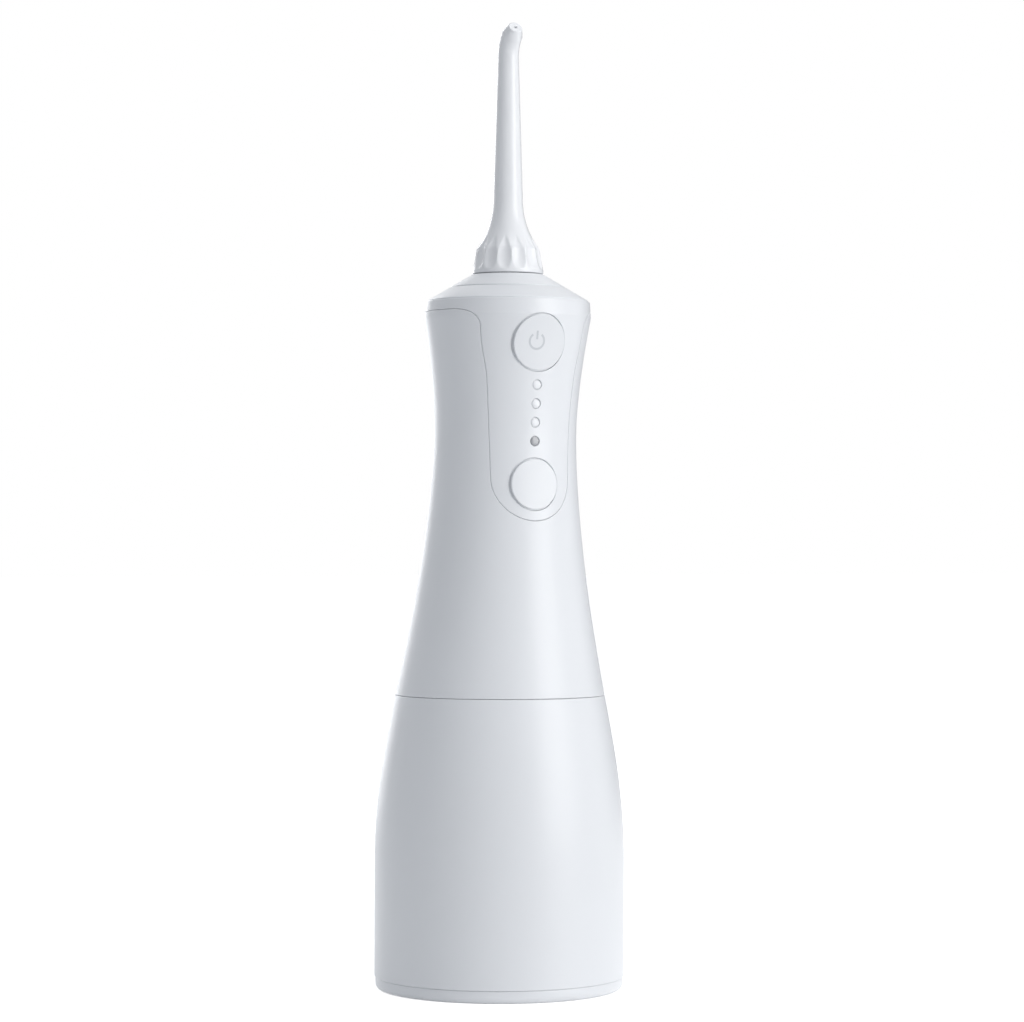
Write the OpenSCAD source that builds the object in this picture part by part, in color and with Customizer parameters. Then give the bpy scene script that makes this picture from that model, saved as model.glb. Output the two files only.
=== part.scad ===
// Cordless water flosser: a pull-off tank below, a handle with the pump above it, and a turning nozzle.
// Frame: origin on the floor at the middle of the tank, +Z up, the control side faces -Y.

/* [Outside shape] */
// Radius of the water tank
tank_r = 36; // [35.5:0.1:36.5]
// Radius of the waist, where the fingers hold
waist_r = 20.5; // [20.3:0.1:21]
// Height of the waist above the floor
waist_z = 161; // [158:0.5:163]
// How much the body widens again from the waist to the shoulder
shoulder_flare = 3; // [2.6:0.1:3.4]
// Height where the tank meets the handle
split_z = 84.6; // [84.2:0.1:85]
// Height of the handle's rim, under the top cap
rim_z = 197.5; // [197:0.1:198]
// How far the nozzle's axis stands in front of the tank's axis
lean = 5; // [4:0.1:5.2]
// Wall of the tank and of the handle
wall = 2.4; // [2.2:0.1:2.5]
// Width of a visible parting line
seam = 0.35; // [0.25:0.05:0.4]

/* [Front panel] */
// Lowest point of the panel
panel_low_z = 134.7; // [134:0.1:136]
// Radius of its round foot
panel_foot_r = 12; // [11.5:0.1:12.5]
// Half width of the panel beside the power button
panel_top_half = 15.9; // [15.5:0.1:16.5]
// Radius of the corner between the panel and the collar
panel_corner_r = 5.8; // [5:0.1:6]
// Height of the groove under the collar
collar_z = 194.4; // [194:0.1:194.6]
// Depth of the panel's bed in the shell
panel_depth = 1.4; // [1.2:0.1:1.5]

/* [Buttons and lights] */
// Radius of the power button
power_r = 7.85; // [7.5:0.05:8]
// Height of the power button's middle
power_z = 185; // [184:0.5:185]
// Radius of the mode button
mode_r = 7.1; // [6.8:0.05:7.3]
// Height of the mode button's middle
mode_z = 145; // [144.5:0.5:146]
// Travel of both front buttons
press = 0.6; // [0.4:0.1:0.6]
// Height of the lowest light
light_z = 157.2; // [156.5:0.1:158]
// Distance between two lights
light_pitch = 5.3; // [5:0.1:5.4]
// Radius of a light
light_r = 1.25; // [1:0.05:1.4]
// Radius of the nozzle release button on the back
release_r = 5; // [4.8:0.1:5.2]
// Height of the release button's middle
release_z = 183; // [182.5:0.5:184]

/* [Nozzle] */
// Radius of the nozzle's bell at the cap
bell_r = 9.9; // [9.5:0.1:10]
// Radius of the tube where it starts to bend
tube_r = 3; // [2.8:0.1:3.2]
// Height where the tube starts to bend
bend_z = 268.2; // [266:0.1:270]
// Radius of the bend
bend_r = 8; // [7:0.5:9]
// Angle of the bend
bend_angle = 50; // [45:1:55]
// Length of the straight tip after the bend
tip_len = 2.8; // [2.5:0.1:3.5]

/* [Drive] */
// Module of the two gears
gear_module = 0.5;
// Teeth of the pinion on the motor
pinion_teeth = 12;
// Teeth of the crank gear
crank_teeth = 40;
// Radius of the crank, half of the piston's stroke
crank_r = 4; // [3.6:0.1:4]
// Radius of the motor
motor_r = 9; // [8.5:0.1:9.2]
// Height of the motor's shaft
motor_z = 98; // [97.8:0.1:98.4]
// Bore radius of the pump
pump_bore_r = 4; // [3.8:0.1:4.2]
// Radius of the cell
cell_r = 7.1; // [6.8:0.1:7.1]
// Length of the cell
cell_len = 50; // [49:0.5:50]

/* [Fits] */
// Radial clearance of a running fit
running = 0.05; // [0.03:0.01:0.08]
// Gap between pieces that must not touch
gap = 0.3; // [0.25:0.05:0.35]

/* [Hidden] */
$fn = 96;

white = [0.93, 0.94, 0.95];
pearl = [0.85, 0.87, 0.88];
grey = [0.35, 0.36, 0.38];
dark = [0.12, 0.12, 0.13];
steel = [0.72, 0.73, 0.75];
brass = [0.8, 0.65, 0.3];
green = [0.1, 0.35, 0.2];
clear = [0.8, 0.85, 0.9];

// Outside: the body is one round outline, and the handle's part of it leans forward
curve_low_z = 37;
waist_bulge = 0.75;
flare_end_z = 193;
flare_power = 1.4;
rim_draw = 0.4;
band_h = 5;
far = 60;
eps = 0.01;
lean_slope = lean / (rim_z - split_z);

function ease(t) = t * t * (3 - 2 * t);
function hollow(t) = pow(4 * t * (1 - t), 4);
function share(z, z0, z1) = max(0, min(1, (z - z0) / (z1 - z0)));
function tank_to_waist(t) = tank_r - (tank_r - waist_r) * ease(t) - waist_bulge * hollow(t);
function outline_r(z) =
  z <= waist_z
    ? tank_to_waist(share(z, curve_low_z, waist_z))
    : waist_r + shoulder_flare * pow(share(z, waist_z, flare_end_z), flare_power)
      - rim_draw * share(z, flare_end_z, rim_z);
function lean_y(z) = -lean_slope * (z - split_z);
function levels(z0, z1) = let(n = ceil((z1 - z0) / band_h)) [for (i = [0:n]) z0 + (z1 - z0) * i / n];
function skin(z0, z1, depth) = [for (z = levels(z0, z1)) [outline_r(z) - depth, z]];
function backwards(list) = [for (i = [len(list) - 1:-1:0]) list[i]];

module leaned() {
  multmatrix([[1, 0, 0, 0], [0, 1, -lean_slope, lean_slope * split_z], [0, 0, 1, 0]]) children();
}
module skin_ring(z0, z1, depth0, depth1) {
  rotate_extrude() polygon(concat(skin(z0, z1, depth0), backwards(skin(z0, z1, depth1))));
}
module skin_slug(z0, z1, depth) {
  rotate_extrude() polygon(concat([[0, z0]], skin(z0, z1, depth), [[0, z1]]));
}
module block(low, high) {
  translate(low) cube(high - low);
}
module rod_x(r, x0, x1, y, z) {
  translate([x0, y, z]) rotate([0, 90, 0]) cylinder(r = r, h = x1 - x0);
}
module rod_y(r, y0, y1, x, z) {
  translate([x, y1, z]) rotate([90, 0, 0]) cylinder(r = r, h = y1 - y0);
}
module tube_z(r_out, r_in, z0, z1, x, y) {
  translate([x, y, z0]) difference() {
    cylinder(r = r_out, h = z1 - z0);
    translate([0, 0, -1]) cylinder(r = r_in, h = z1 - z0 + 2);
  }
}
module ring_seal(mid_r, thick_r, z, y) {
  translate([0, y, z]) rotate_extrude() translate([mid_r, 0]) circle(r = thick_r);
}
// A prism that stands out towards the front from y, of an outline drawn in x and z
module prism_front(y) {
  translate([0, y, 0]) rotate([90, 0, 0]) linear_extrude(height = far) children();
}
module prism_back(y) {
  translate([0, y + far, 0]) rotate([90, 0, 0]) linear_extrude(height = far) children();
}

// Tank
base_top_z = 3.6;
base_inset = 0.3;
base_corner_r = 1;
floor_top_z = 3;
plug_ring_top_z = 7;
plug_ring_wall = 2.6;
plug_low_z = 72;
mouth_ledge = 2.9;
mouth_r = outline_r(split_z) - mouth_ledge;
mouth_lead = 2.5;
mouth_low_z = plug_low_z - mouth_lead;
mouth_slope = 4.5;
half_seam = seam / 2;
tank_top_z = split_z - half_seam;
tank_low_z = base_top_z + 0.2;

// Flap that closes the tank's filling hole, on the back
fill_z = 48;
fill_r = 10.25;
fill_bed_gap = 0.3;
fill_draw = 0.55;
fill_bed_depth = 4.15;
fill_bed_y = outline_r(fill_z) - fill_bed_depth;
fill_boss_t = 2.5;
fill_boss_y = fill_bed_y - fill_boss_t;
fill_boss_r = 12.5;
fill_hole_r = 6.6;
fill_plug_r = 6;
fill_plug_draw = 0.4;
function mid_wall_r(side) = outline_r(fill_z + side * (fill_boss_r + 1)) - wall / 2;

module base_seal_groove() {
  rotate_extrude() translate([base_plug_r - base_seal_depth, base_seal_z - base_seal_half])
    square([base_seal_depth + 1, 2 * base_seal_half]);
}
base_plug_r = tank_r - wall - running;
base_seal_depth = 1.1;
base_seal_half = 0.6;
base_seal_z = 5.4;
base_seal_r = 0.5;

module tank_shell() {
  color(white) difference() {
    union() {
      rotate_extrude() polygon(concat(
        skin(tank_low_z, tank_top_z, 0),
        [[mouth_r, tank_top_z], [mouth_r, mouth_low_z]],
        backwards(skin(tank_low_z, mouth_low_z - mouth_slope, wall))));
      intersection() {
        translate([0, 0, fill_z - fill_boss_r - 1])
          cylinder(r1 = mid_wall_r(-1), r2 = mid_wall_r(1), h = 2 * fill_boss_r + 2);
        rod_y(fill_boss_r, fill_boss_y, far, 0, fill_z);
      }
    }
    rod_y(fill_r + fill_bed_gap, fill_bed_y, far, 0, fill_z);
    rod_y(fill_hole_r, fill_boss_y - 1, far, 0, fill_z);
  }
}

module tank_base() {
  rim = tank_r - base_inset;
  color(white) difference() {
    rotate_extrude() union() {
      polygon([[0, 0], [rim - base_corner_r, 0], [rim, base_corner_r], [rim, base_top_z],
        [base_plug_r, base_top_z], [base_plug_r, plug_ring_top_z],
        [base_plug_r - plug_ring_wall, plug_ring_top_z], [base_plug_r - plug_ring_wall, floor_top_z],
        [0, floor_top_z]]);
      translate([rim - base_corner_r, base_corner_r]) circle(r = base_corner_r);
    }
    base_seal_groove();
  }
}

module tank_base_seal() {
  color(dark) ring_seal(tank_r - wall - running - base_seal_r, base_seal_r, base_seal_z, 0);
}

module fill_cap() {
  color(pearl) intersection() {
    skin_slug(fill_z - fill_r - 2, fill_z + fill_r + 2, 0);
    union() {
      translate([0, fill_bed_y + fill_bed_gap, fill_z]) rotate([-90, 0, 0])
        cylinder(r1 = fill_r - fill_draw, r2 = fill_r, h = outline_r(fill_z) - fill_bed_y - fill_bed_gap + 1);
      translate([0, fill_boss_y + fill_draw, fill_z]) rotate([-90, 0, 0])
        cylinder(r1 = fill_plug_r - fill_plug_draw, r2 = fill_plug_r, h = fill_bed_y - fill_boss_y);
    }
  }
}

// Handle shell and its openings
shell_low_z = split_z + half_seam;
shell_top_z = collar_z - half_seam;
button_gap = 0.4;
release_gap = 0.35;
panel_bed_gap = 0.15;

// Charging inlet on the back, under a soft flap
charge_z = 100.7;
cover_half_w = 7;
cover_half_h = 4.6;
cover_corner_r = 2;
cover_depth = 1.2;
cover_bed_gap = 0.3;
inlet_half_w = 5;
inlet_half_h = 2.3;
cover_plug_half_w = 4.2;
cover_plug_half_h = 1.4;
cover_plug_depth = 1.3;

module rounded_plate(half_w, half_h, r, z) {
  for (side = [-1, 1]) {
    translate([side * (half_w - r), z + half_h - r]) circle(r = r);
    translate([side * (half_w - r), z - half_h + r]) circle(r = r);
  }
  translate([-half_w + r, z - half_h]) square([2 * (half_w - r), 2 * half_h]);
  translate([-half_w, z - half_h + r]) square([2 * half_w, 2 * (half_h - r)]);
}

// The panel's outline; grow widens it on every side for the bed in the shell
module panel_outline(grow) {
  foot_z = panel_low_z + panel_foot_r;
  mid_z = 166;
  wide_z = 188;
  mid_half = panel_foot_r + 0.75;
  wide_half = panel_top_half - 0.3;
  top_z = rim_z + 1;
  corner_x = panel_top_half + panel_corner_r;
  corner_z = collar_z + half_seam - panel_corner_r;
  translate([0, foot_z]) circle(r = panel_foot_r + grow);
  for (side = [-1, 1]) {
    polygon([[0, foot_z], [side * (panel_foot_r + grow), foot_z], [side * (mid_half + grow), mid_z],
      [side * (mid_half + 0.9 + grow), mid_z + 10], [side * (wide_half + grow), wide_z - 2],
      [side * (panel_top_half + grow), wide_z + 2], [side * (panel_top_half + grow), top_z], [0, top_z]]);
    difference() {
      polygon([[side * (panel_top_half - 1), corner_z], [side * corner_x, corner_z],
        [side * corner_x, top_z], [side * (panel_top_half - 1), top_z]]);
      translate([side * corner_x, corner_z]) circle(r = panel_corner_r - grow);
    }
  }
}

module front_holes() {
  rod_y(power_r + button_gap, -far, -15, 0, power_z);
  rod_y(mode_r + button_gap, -far, -15, 0, mode_z);
  for (i = [0:3]) rod_y(light_r, -far, -15, 0, light_z + i * light_pitch);
}

module grip_shell() {
  color(white) difference() {
    leaned() skin_ring(shell_low_z, shell_top_z, 0, wall);
    intersection() {
      leaned() skin_ring(panel_low_z - 3, rim_z, -1, panel_depth + panel_bed_gap);
      prism_front(-4) panel_outline(seam);
    }
    front_holes();
    rod_y(release_r + release_gap, 5, far, 0, release_z);
    intersection() {
      leaned() skin_ring(charge_z - 9, charge_z + 9, -1, cover_depth + running);
      prism_back(10) rounded_plate(cover_half_w + cover_bed_gap, cover_half_h + cover_bed_gap,
        cover_corner_r + cover_bed_gap, charge_z);
    }
    prism_back(10) rounded_plate(inlet_half_w, inlet_half_h, 1, charge_z);
  }
}

module front_fascia() {
  collar_low_z = collar_z + half_seam;
  color(white) difference() {
    intersection() {
      leaned() rotate_extrude() polygon(concat(
        skin(panel_low_z - 1, rim_z, 0),
        [[outline_r(rim_z) - wall, rim_z], [outline_r(collar_low_z) - wall, collar_low_z]],
        backwards(skin(panel_low_z - 1, collar_low_z, panel_depth))));
      union() {
        prism_front(-4) panel_outline(0);
        block([-far, -far, collar_low_z], [far, far, rim_z + 1]);
      }
    }
    front_holes();
  }
}

// Top: a fixed cone, and inside it the dial that turns with the nozzle
cone_inset = 0.5;
cone_low_r = outline_r(rim_z) - cone_inset;
cone_lip = 0.4;
cone_slope = 0.589;
dial_r = 16.4;
dial_low_z = 198.8;
cap_floor = 2;
cap_skirt_r = outline_r(rim_z) - wall - running;
cap_skirt_wall = 1.6;
dial_top_r = 10.3;
function cone_z(r) = rim_z + cone_lip + (cone_low_r - r) * cone_slope;

module top_cap() {
  bore = dial_r + gap;
  floor_z = dial_low_z - gap;
  color(white) translate([0, -lean, 0]) rotate_extrude() polygon([
    [socket_r + gap, floor_z - cap_floor], [cap_skirt_r - cap_skirt_wall, floor_z - cap_floor],
    [cap_skirt_r - cap_skirt_wall, flange_top_z], [cap_skirt_r, flange_top_z], [cap_skirt_r, rim_z],
    [cone_low_r, rim_z], [cone_low_r, rim_z + cone_lip], [bore, cone_z(bore)], [bore, floor_z],
    [socket_r + gap, floor_z]]);
}

// Nozzle seat: a fixed socket in the handle, and the dial's stem that turns in it
flange_low_z = 192.1;
flange_h = 1.8;
flange_top_z = flange_low_z + flange_h;
flange_r = outline_r(flange_low_z) - wall - 2 * gap;
socket_r = 7.6;
stem_r = 6.25;
stem_bore_r = 4.6;
socket_low_z = 181;
socket_floor = 3;
socket_top_z = 198.4;
nipple_r = 1.45;
nipple_bore_r = 0.9;
nipple_len = 2.2;
window_half_w = 2.4;
tongue_low_z = 185;
tongue_h = 2;
dial_seal_z = 190;
dial_seal_r = 0.5;
dial_seal_depth = 1.05;

module nozzle_socket() {
  flat_y = key_flange_y(power_r, power_z) + flange_t + press + gap;
  color(pearl) difference() {
    translate([0, -lean, 0]) rotate_extrude() polygon([
      [nipple_bore_r, socket_low_z - nipple_len], [nipple_r, socket_low_z - nipple_len],
      [nipple_r, socket_low_z], [socket_r, socket_low_z], [socket_r, flange_low_z], [flange_r, flange_low_z],
      [flange_r, flange_top_z], [socket_r, flange_top_z], [socket_r, socket_top_z],
      [stem_r + running, socket_top_z], [stem_r + running, socket_low_z + socket_floor],
      [nipple_bore_r, socket_low_z + socket_floor]]);
    block([-window_half_w, -lean + 1, tongue_low_z - 0.4],
      [window_half_w, far, tongue_low_z + tongue_h + 0.4]);
    block([-far, -far, flange_low_z - 1], [far, flat_y, flange_top_z + 1]);
  }
}

module nozzle_dial() {
  stem_low_z = socket_low_z + socket_floor + gap;
  color(white) translate([0, -lean, 0]) difference() {
    rotate_extrude() polygon([
      [stem_bore_r, stem_low_z], [stem_r, stem_low_z], [stem_r, dial_seal_z - dial_seal_r - 0.1],
      [stem_r - dial_seal_depth, dial_seal_z - dial_seal_r - 0.1],
      [stem_r - dial_seal_depth, dial_seal_z + dial_seal_r + 0.1],
      [stem_r, dial_seal_z + dial_seal_r + 0.1], [stem_r, dial_low_z], [dial_r, dial_low_z],
      [dial_r, cone_z(dial_r)], [dial_top_r, cone_z(dial_top_r)], [stem_bore_r, cone_z(dial_top_r)]]);
  }
}

module dial_seal() {
  color(dark) ring_seal(stem_r - dial_seal_r, dial_seal_r, dial_seal_z, -lean);
}

// Nozzle
shank_r = 4.3;
shank_low_z = 187.5;
bell_low_z = cone_z(dial_top_r) + 0.25;
bore_r = 1.2;
jet_r = 0.5;
bell_foot_h = 1;
bell_top_r = 9.05;
bell_h = 7.15;
neck_h = 16.1;
neck_r = 4.2;
neck_steps = 7;
neck_power = 2.4;
function neck_outline() = [for (i = [0:neck_steps]) let(t = i / neck_steps)
  [neck_r + (bell_top_r - neck_r) * pow(1 - t, neck_power), bell_low_z + bell_h + neck_h * t]];
tip_r = 2;
tip_step = 0.05;
tip_sink = 0.3;
nozzle_seal_z = 190.6;
nozzle_seal_r = 0.52;
seal_groove_r = 3.45;

module bend_place(turn) {
  translate([0, -lean - bend_r, bend_z]) rotate([90, 0, 90]) rotate([0, 0, turn]) children();
}
module bent_round() {
  bend_place(0) rotate_extrude(angle = bend_angle) translate([bend_r, 0]) circle(r = tube_r);
}

module nozzle_body() {
  half = nozzle_seal_r + 0.1;
  knee = bend_r * tan(bend_angle / 2);
  color(white) difference() {
    union() {
      translate([0, -lean, 0]) rotate_extrude() polygon([
        [0, shank_low_z], [shank_r, shank_low_z], [shank_r, nozzle_seal_z - half],
        [seal_groove_r, nozzle_seal_z - half], [seal_groove_r, nozzle_seal_z + half],
        [shank_r, nozzle_seal_z + half], [shank_r, bell_low_z], [bell_r, bell_low_z],
        [bell_r, bell_low_z + bell_foot_h], each neck_outline(), [tube_r, bend_z], [0, bend_z]]);
      bent_round();
      bend_place(bend_angle) translate([bend_r, -tip_sink, 0]) rotate([-90, 0, 0])
        cylinder(r1 = tube_r - tip_step, r2 = tip_r, h = tip_len + tip_sink);
    }
    translate([0, -lean, shank_low_z - 1]) cylinder(r = bore_r, h = bend_z + knee - shank_low_z + 1);
    bend_place(bend_angle) translate([bend_r, -knee, 0]) rotate([-90, 0, 0])
      cylinder(r = jet_r, h = knee + tip_len + 1);
  }
}

module nozzle_seal() {
  color(dark) ring_seal(stem_bore_r - running - nozzle_seal_r, nozzle_seal_r, nozzle_seal_z, -lean);
}

// Bulkhead of the handle, with the plug that closes the tank's mouth, and the water line through it
plug_r = mouth_r - 0.35;
plug_floor = 2.5;
plug_wall = 2.55;
cup_r = plug_r - plug_wall;
base_flange_h = 1.7;
base_flange_top_z = shell_low_z + base_flange_h;
base_flange_r = outline_r(base_flange_top_z) - wall - 2 * running;
tank_seal_rise = 5.5;
tank_seal_z = plug_low_z + tank_seal_rise;
tank_seal_r = 0.73;
tank_seal_half = 1.25;
tank_seal_depth = 1.2;
line_x = 10.5;
line_y = 7.5;
spigot_r = 1.9;
spigot_bore_r = 1.1;
spigot_reach = 6;
hose_r = 2.6;
hose_bore_r = 1.95;
dip_low_z = 8.5;
screw_inset = 2.6;
screw_x = (cup_r - screw_inset) / sqrt(2);
screw_post_r = 3;
screw_r = 1.3;
screw_head_r = 2.5;
screw_head_h = 1.4;
screw_len = 8;

module at_screws() {
  for (x = [-screw_x, screw_x], y = [-screw_x, screw_x]) translate([x, y, 0]) children();
}

module handle_base() {
  color(pearl) difference() {
    union() {
      rotate_extrude() polygon([
        [0, plug_low_z], [plug_r, plug_low_z], [plug_r, tank_seal_z - tank_seal_half],
        [plug_r - tank_seal_depth, tank_seal_z - tank_seal_half],
        [plug_r - tank_seal_depth, tank_seal_z + tank_seal_half], [plug_r, tank_seal_z + tank_seal_half],
        [plug_r, shell_low_z], [base_flange_r, shell_low_z], [base_flange_r, base_flange_top_z],
        [cup_r, base_flange_top_z], [cup_r, plug_low_z + plug_floor], [0, plug_low_z + plug_floor]]);
      at_screws() translate([0, 0, plug_low_z + 1])
        cylinder(r = screw_post_r, h = base_flange_top_z - plug_low_z - 1);
      translate([line_x, line_y, plug_low_z - spigot_reach])
        cylinder(r = spigot_r, h = base_flange_top_z - plug_low_z + 2 * spigot_reach);
    }
    at_screws() translate([0, 0, base_flange_top_z - screw_len]) cylinder(r = screw_r + running, h = far);
    translate([line_x, line_y, plug_low_z - far]) cylinder(r = spigot_bore_r, h = 2 * far);
  }
}

module tank_seal() {
  color(dark) ring_seal(mouth_r - running - tank_seal_r, tank_seal_r, tank_seal_z, 0);
}

module dip_tube() {
  color(clear) tube_z(hose_r, hose_bore_r, dip_low_z, plug_low_z, line_x, line_y);
}

filter_r = 4.5;
filter_top_z = 14.5;
filter_low_z = 6.5;
filter_slot_half = 0.5;
filter_slot_h = 1.4;
module inlet_filter() {
  color(grey) translate([line_x, line_y, 0]) difference() {
    translate([0, 0, filter_low_z]) cylinder(r = filter_r, h = filter_top_z - filter_low_z);
    translate([0, 0, filter_low_z + 1]) cylinder(r = hose_bore_r, h = dip_low_z - filter_low_z);
    translate([0, 0, dip_low_z]) cylinder(r = hose_r, h = filter_top_z);
    for (x = [-2 * filter_slot_h, 0, 2 * filter_slot_h])
      block([x - filter_slot_half, -far, filter_low_z - 1],
        [x + filter_slot_half, far, filter_low_z + filter_slot_h]);
  }
}

// Inner frame: carries motor, gear axle, pump, cell and board
plate_low_z = base_flange_top_z;
plate_h = 2;
plate_inset = 2;
plate_r = base_flange_r - plate_inset;
motor_x0 = -21;
motor_x1 = 3;
end_cap_len = 3;
web_x0 = 0.6;
web_x1 = 2.6;
web_half_y = 12;
web_upper_half_y = 9;
web_top_z = 168;
centre_gap = 0.1;
mesh_distance = gear_module * (pinion_teeth + crank_teeth) / 2 + centre_gap;
crank_z = motor_z + mesh_distance;
gear_x0 = 4.5;
gear_w = 3;
axle_r = 1.5;
rod_x0 = 8.5;
rod_w = 2;
pump_x = rod_x0 + rod_w / 2;
drive_y = -1;
pump_wall = 1.5;
pump_low_z = 130;
pump_top_z = 153;
board_x = 10.5;
board_y = -13.9;
board_t = 1.2;
board_low_z = 137;
board_top_z = 191.3;
rail_h = 3;
cell_x = -7;
cell_y = 4;
cell_low_z = 118;
saddle_w = 3;
shelf_top_z = 99;
shelf_y = 13;

module saddle(x) {
  half_y = motor_r + 1.5;
  block([x, drive_y - half_y, plate_low_z + plate_h - eps], [x + saddle_w, drive_y + half_y, motor_z]);
}

module inner_frame() {
  color(grey) difference() {
    union() {
      translate([0, 0, plate_low_z]) cylinder(r = plate_r, h = plate_h);
      saddle(motor_x0 + 1);
      saddle(motor_x1 - 7);
      block([web_x0, -web_half_y, plate_low_z], [web_x1, web_half_y, crank_z]);
      block([web_x0, -board_rear(), crank_z - eps], [web_x1, web_upper_half_y, web_top_z]);
      rod_x(axle_r + 1.3, web_x1 - eps, web_x1 + 1, drive_y, crank_z);
      block([web_x1 - eps, drive_y - 4, pump_low_z + 12], [pump_x, drive_y + 4, pump_low_z + 16]);
      for (z = [board_low_z + 4, web_top_z - 6])
        block([-board_x + 1.5, -board_rear(), z], [board_x - 1.5, -board_rear() + 1.5, z + rail_h]);
      for (z = [cell_low_z + 4, cell_low_z + cell_len - 8])
        block([cell_x, cell_y - 3, z], [web_x0 + eps, cell_y + 3, z + 3]);
      block([-6, shelf_y, plate_low_z], [6, shelf_y + 2, shelf_top_z]);
      block([-6, shelf_y, shelf_top_z - 1.5], [6, shelf_y + 8.5, shelf_top_z]);
    }
    rod_x(motor_r + running, motor_x0 - 5, web_x1 + 2, drive_y, motor_z);
    rod_x(axle_r, web_x0 - 1, web_x1 + 5, drive_y, crank_z);
    translate([pump_x, drive_y, 0]) cylinder(r = pump_bore_r + pump_wall + running, h = far * 4);
    translate([cell_x, cell_y, 0]) cylinder(r = cell_r + running, h = far * 4);
    translate([line_x, line_y, 0]) cylinder(r = hose_r + 0.2, h = plate_low_z + far);
    at_screws() cylinder(r = screw_r + 0.2, h = far * 4);
  }
}
function board_rear() = -board_y - board_t;

module frame_screws() {
  color(steel) at_screws() {
    translate([0, 0, plate_low_z + plate_h]) cylinder(r = screw_head_r, h = screw_head_h);
    translate([0, 0, plate_low_z - screw_len + 0.5]) cylinder(r = screw_r, h = screw_len + plate_h);
  }
}

// Motor
motor_boss_r = 3;
motor_boss_len = 0.6;
shaft_r = 1;
shaft_x0 = -17;
shaft_x1 = 8.2;
module motor_can() {
  color(steel) difference() {
    union() {
      rod_x(motor_r, motor_x0 + end_cap_len, motor_x1, drive_y, motor_z);
      rod_x(motor_boss_r, motor_x1 - eps, motor_x1 + motor_boss_len, drive_y, motor_z);
    }
    rod_x(shaft_r + running, shaft_x0 - gap, motor_x1 + 5, drive_y, motor_z);
  }
}
module motor_end_cap() {
  color(white) rod_x(motor_r - 0.4, motor_x0, motor_x0 + end_cap_len, drive_y, motor_z);
}
module motor_terminals() {
  color(brass) for (y = [drive_y - 5, drive_y + 5])
    block([motor_x0 - 1, y - 0.8, motor_z - 2], [motor_x0, y + 0.8, motor_z + 2]);
}
module motor_shaft() {
  color(steel) rod_x(shaft_r, shaft_x0, shaft_x1, drive_y, motor_z);
}

// Gears: involute teeth, slightly thin, so that the pair runs free
pressure_angle = 20;
tooth_thinning = 0.09;
flank_steps = 4;
function involute(base_r, angle) =
  base_r * [cos(angle) + angle * PI / 180 * sin(angle), sin(angle) - angle * PI / 180 * cos(angle)];
function roll(base_r, r) = r <= base_r ? 0 : sqrt(pow(r / base_r, 2) - 1) * 180 / PI;
function spread(base_r, r) = roll(base_r, r) - (r <= base_r ? 0 : acos(base_r / r));
function turned(p, a) = [p[0] * cos(a) - p[1] * sin(a), p[0] * sin(a) + p[1] * cos(a)];

function flank(teeth, addendum, dedendum) =
  let(
    pitch_r = gear_module * teeth / 2,
    base_r = pitch_r * cos(pressure_angle),
    tip_r = pitch_r + addendum,
    root_r = pitch_r - dedendum,
    half_tooth = 90 / teeth - tooth_thinning / pitch_r * 90 / PI,
    start = -half_tooth - spread(base_r, pitch_r),
    roll_0 = roll(base_r, max(base_r, root_r)),
    roll_1 = roll(base_r, tip_r)
  )
  concat(
    [turned([root_r, 0], start - (root_r < base_r ? 1 : 0) * 10 / teeth)],
    [for (i = [0:flank_steps])
      turned(involute(base_r, roll_0 + (roll_1 - roll_0) * i / flank_steps), start)]);
function tooth(teeth, addendum, dedendum) =
  let(side = flank(teeth, addendum, dedendum)) concat(side, [for (p = backwards(side)) [p[0], -p[1]]]);

module gear(teeth, addendum, dedendum, offset_angle, x0, width, y, z) {
  outline = [for (i = [0:teeth - 1], p = tooth(teeth, addendum, dedendum))
    turned(p, 360 * i / teeth + offset_angle)];
  translate([x0, y, z]) rotate([90, 0, 90]) linear_extrude(height = width) polygon(outline);
}

pinion_x0 = 4.2;
pinion_w = 3.8;
module drive_pinion() {
  color(brass) difference() {
    gear(pinion_teeth, 0.45, 0.6, 90 + 180 / pinion_teeth, pinion_x0, pinion_w, drive_y, motor_z);
    rod_x(shaft_r, pinion_x0 - 1, pinion_x0 + pinion_w + 1, drive_y, motor_z);
  }
}
module crank_gear() {
  color(pearl) difference() {
    gear(crank_teeth, 0.45, 0.6, 90, gear_x0, gear_w, drive_y, crank_z);
    rod_x(axle_r + running, gear_x0 - 1, gear_x0 + gear_w + 1, drive_y, crank_z);
    rod_x(pin_r, gear_x0 + 1, gear_x0 + gear_w + 1, drive_y, crank_z - crank_r);
    for (turn = [60:60:300]) translate([0, drive_y, crank_z]) rotate([turn, 0, 0])
      rod_x(1.6, gear_x0 - 1, gear_x0 + gear_w + 1, 0, -6.2);
  }
}
pin_r = 1.25;
axle_head_r = 2.3;
module gear_axle() {
  color(steel) {
    rod_x(axle_r, web_x0, gear_x0 + gear_w + 0.1, drive_y, crank_z);
    rod_x(axle_head_r, gear_x0 + gear_w + 0.1, gear_x0 + gear_w + 0.6, drive_y, crank_z);
  }
}
module crank_pin() {
  color(steel) rod_x(pin_r, gear_x0 + 1, rod_x0 - gap, drive_y, crank_z - crank_r);
}

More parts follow.
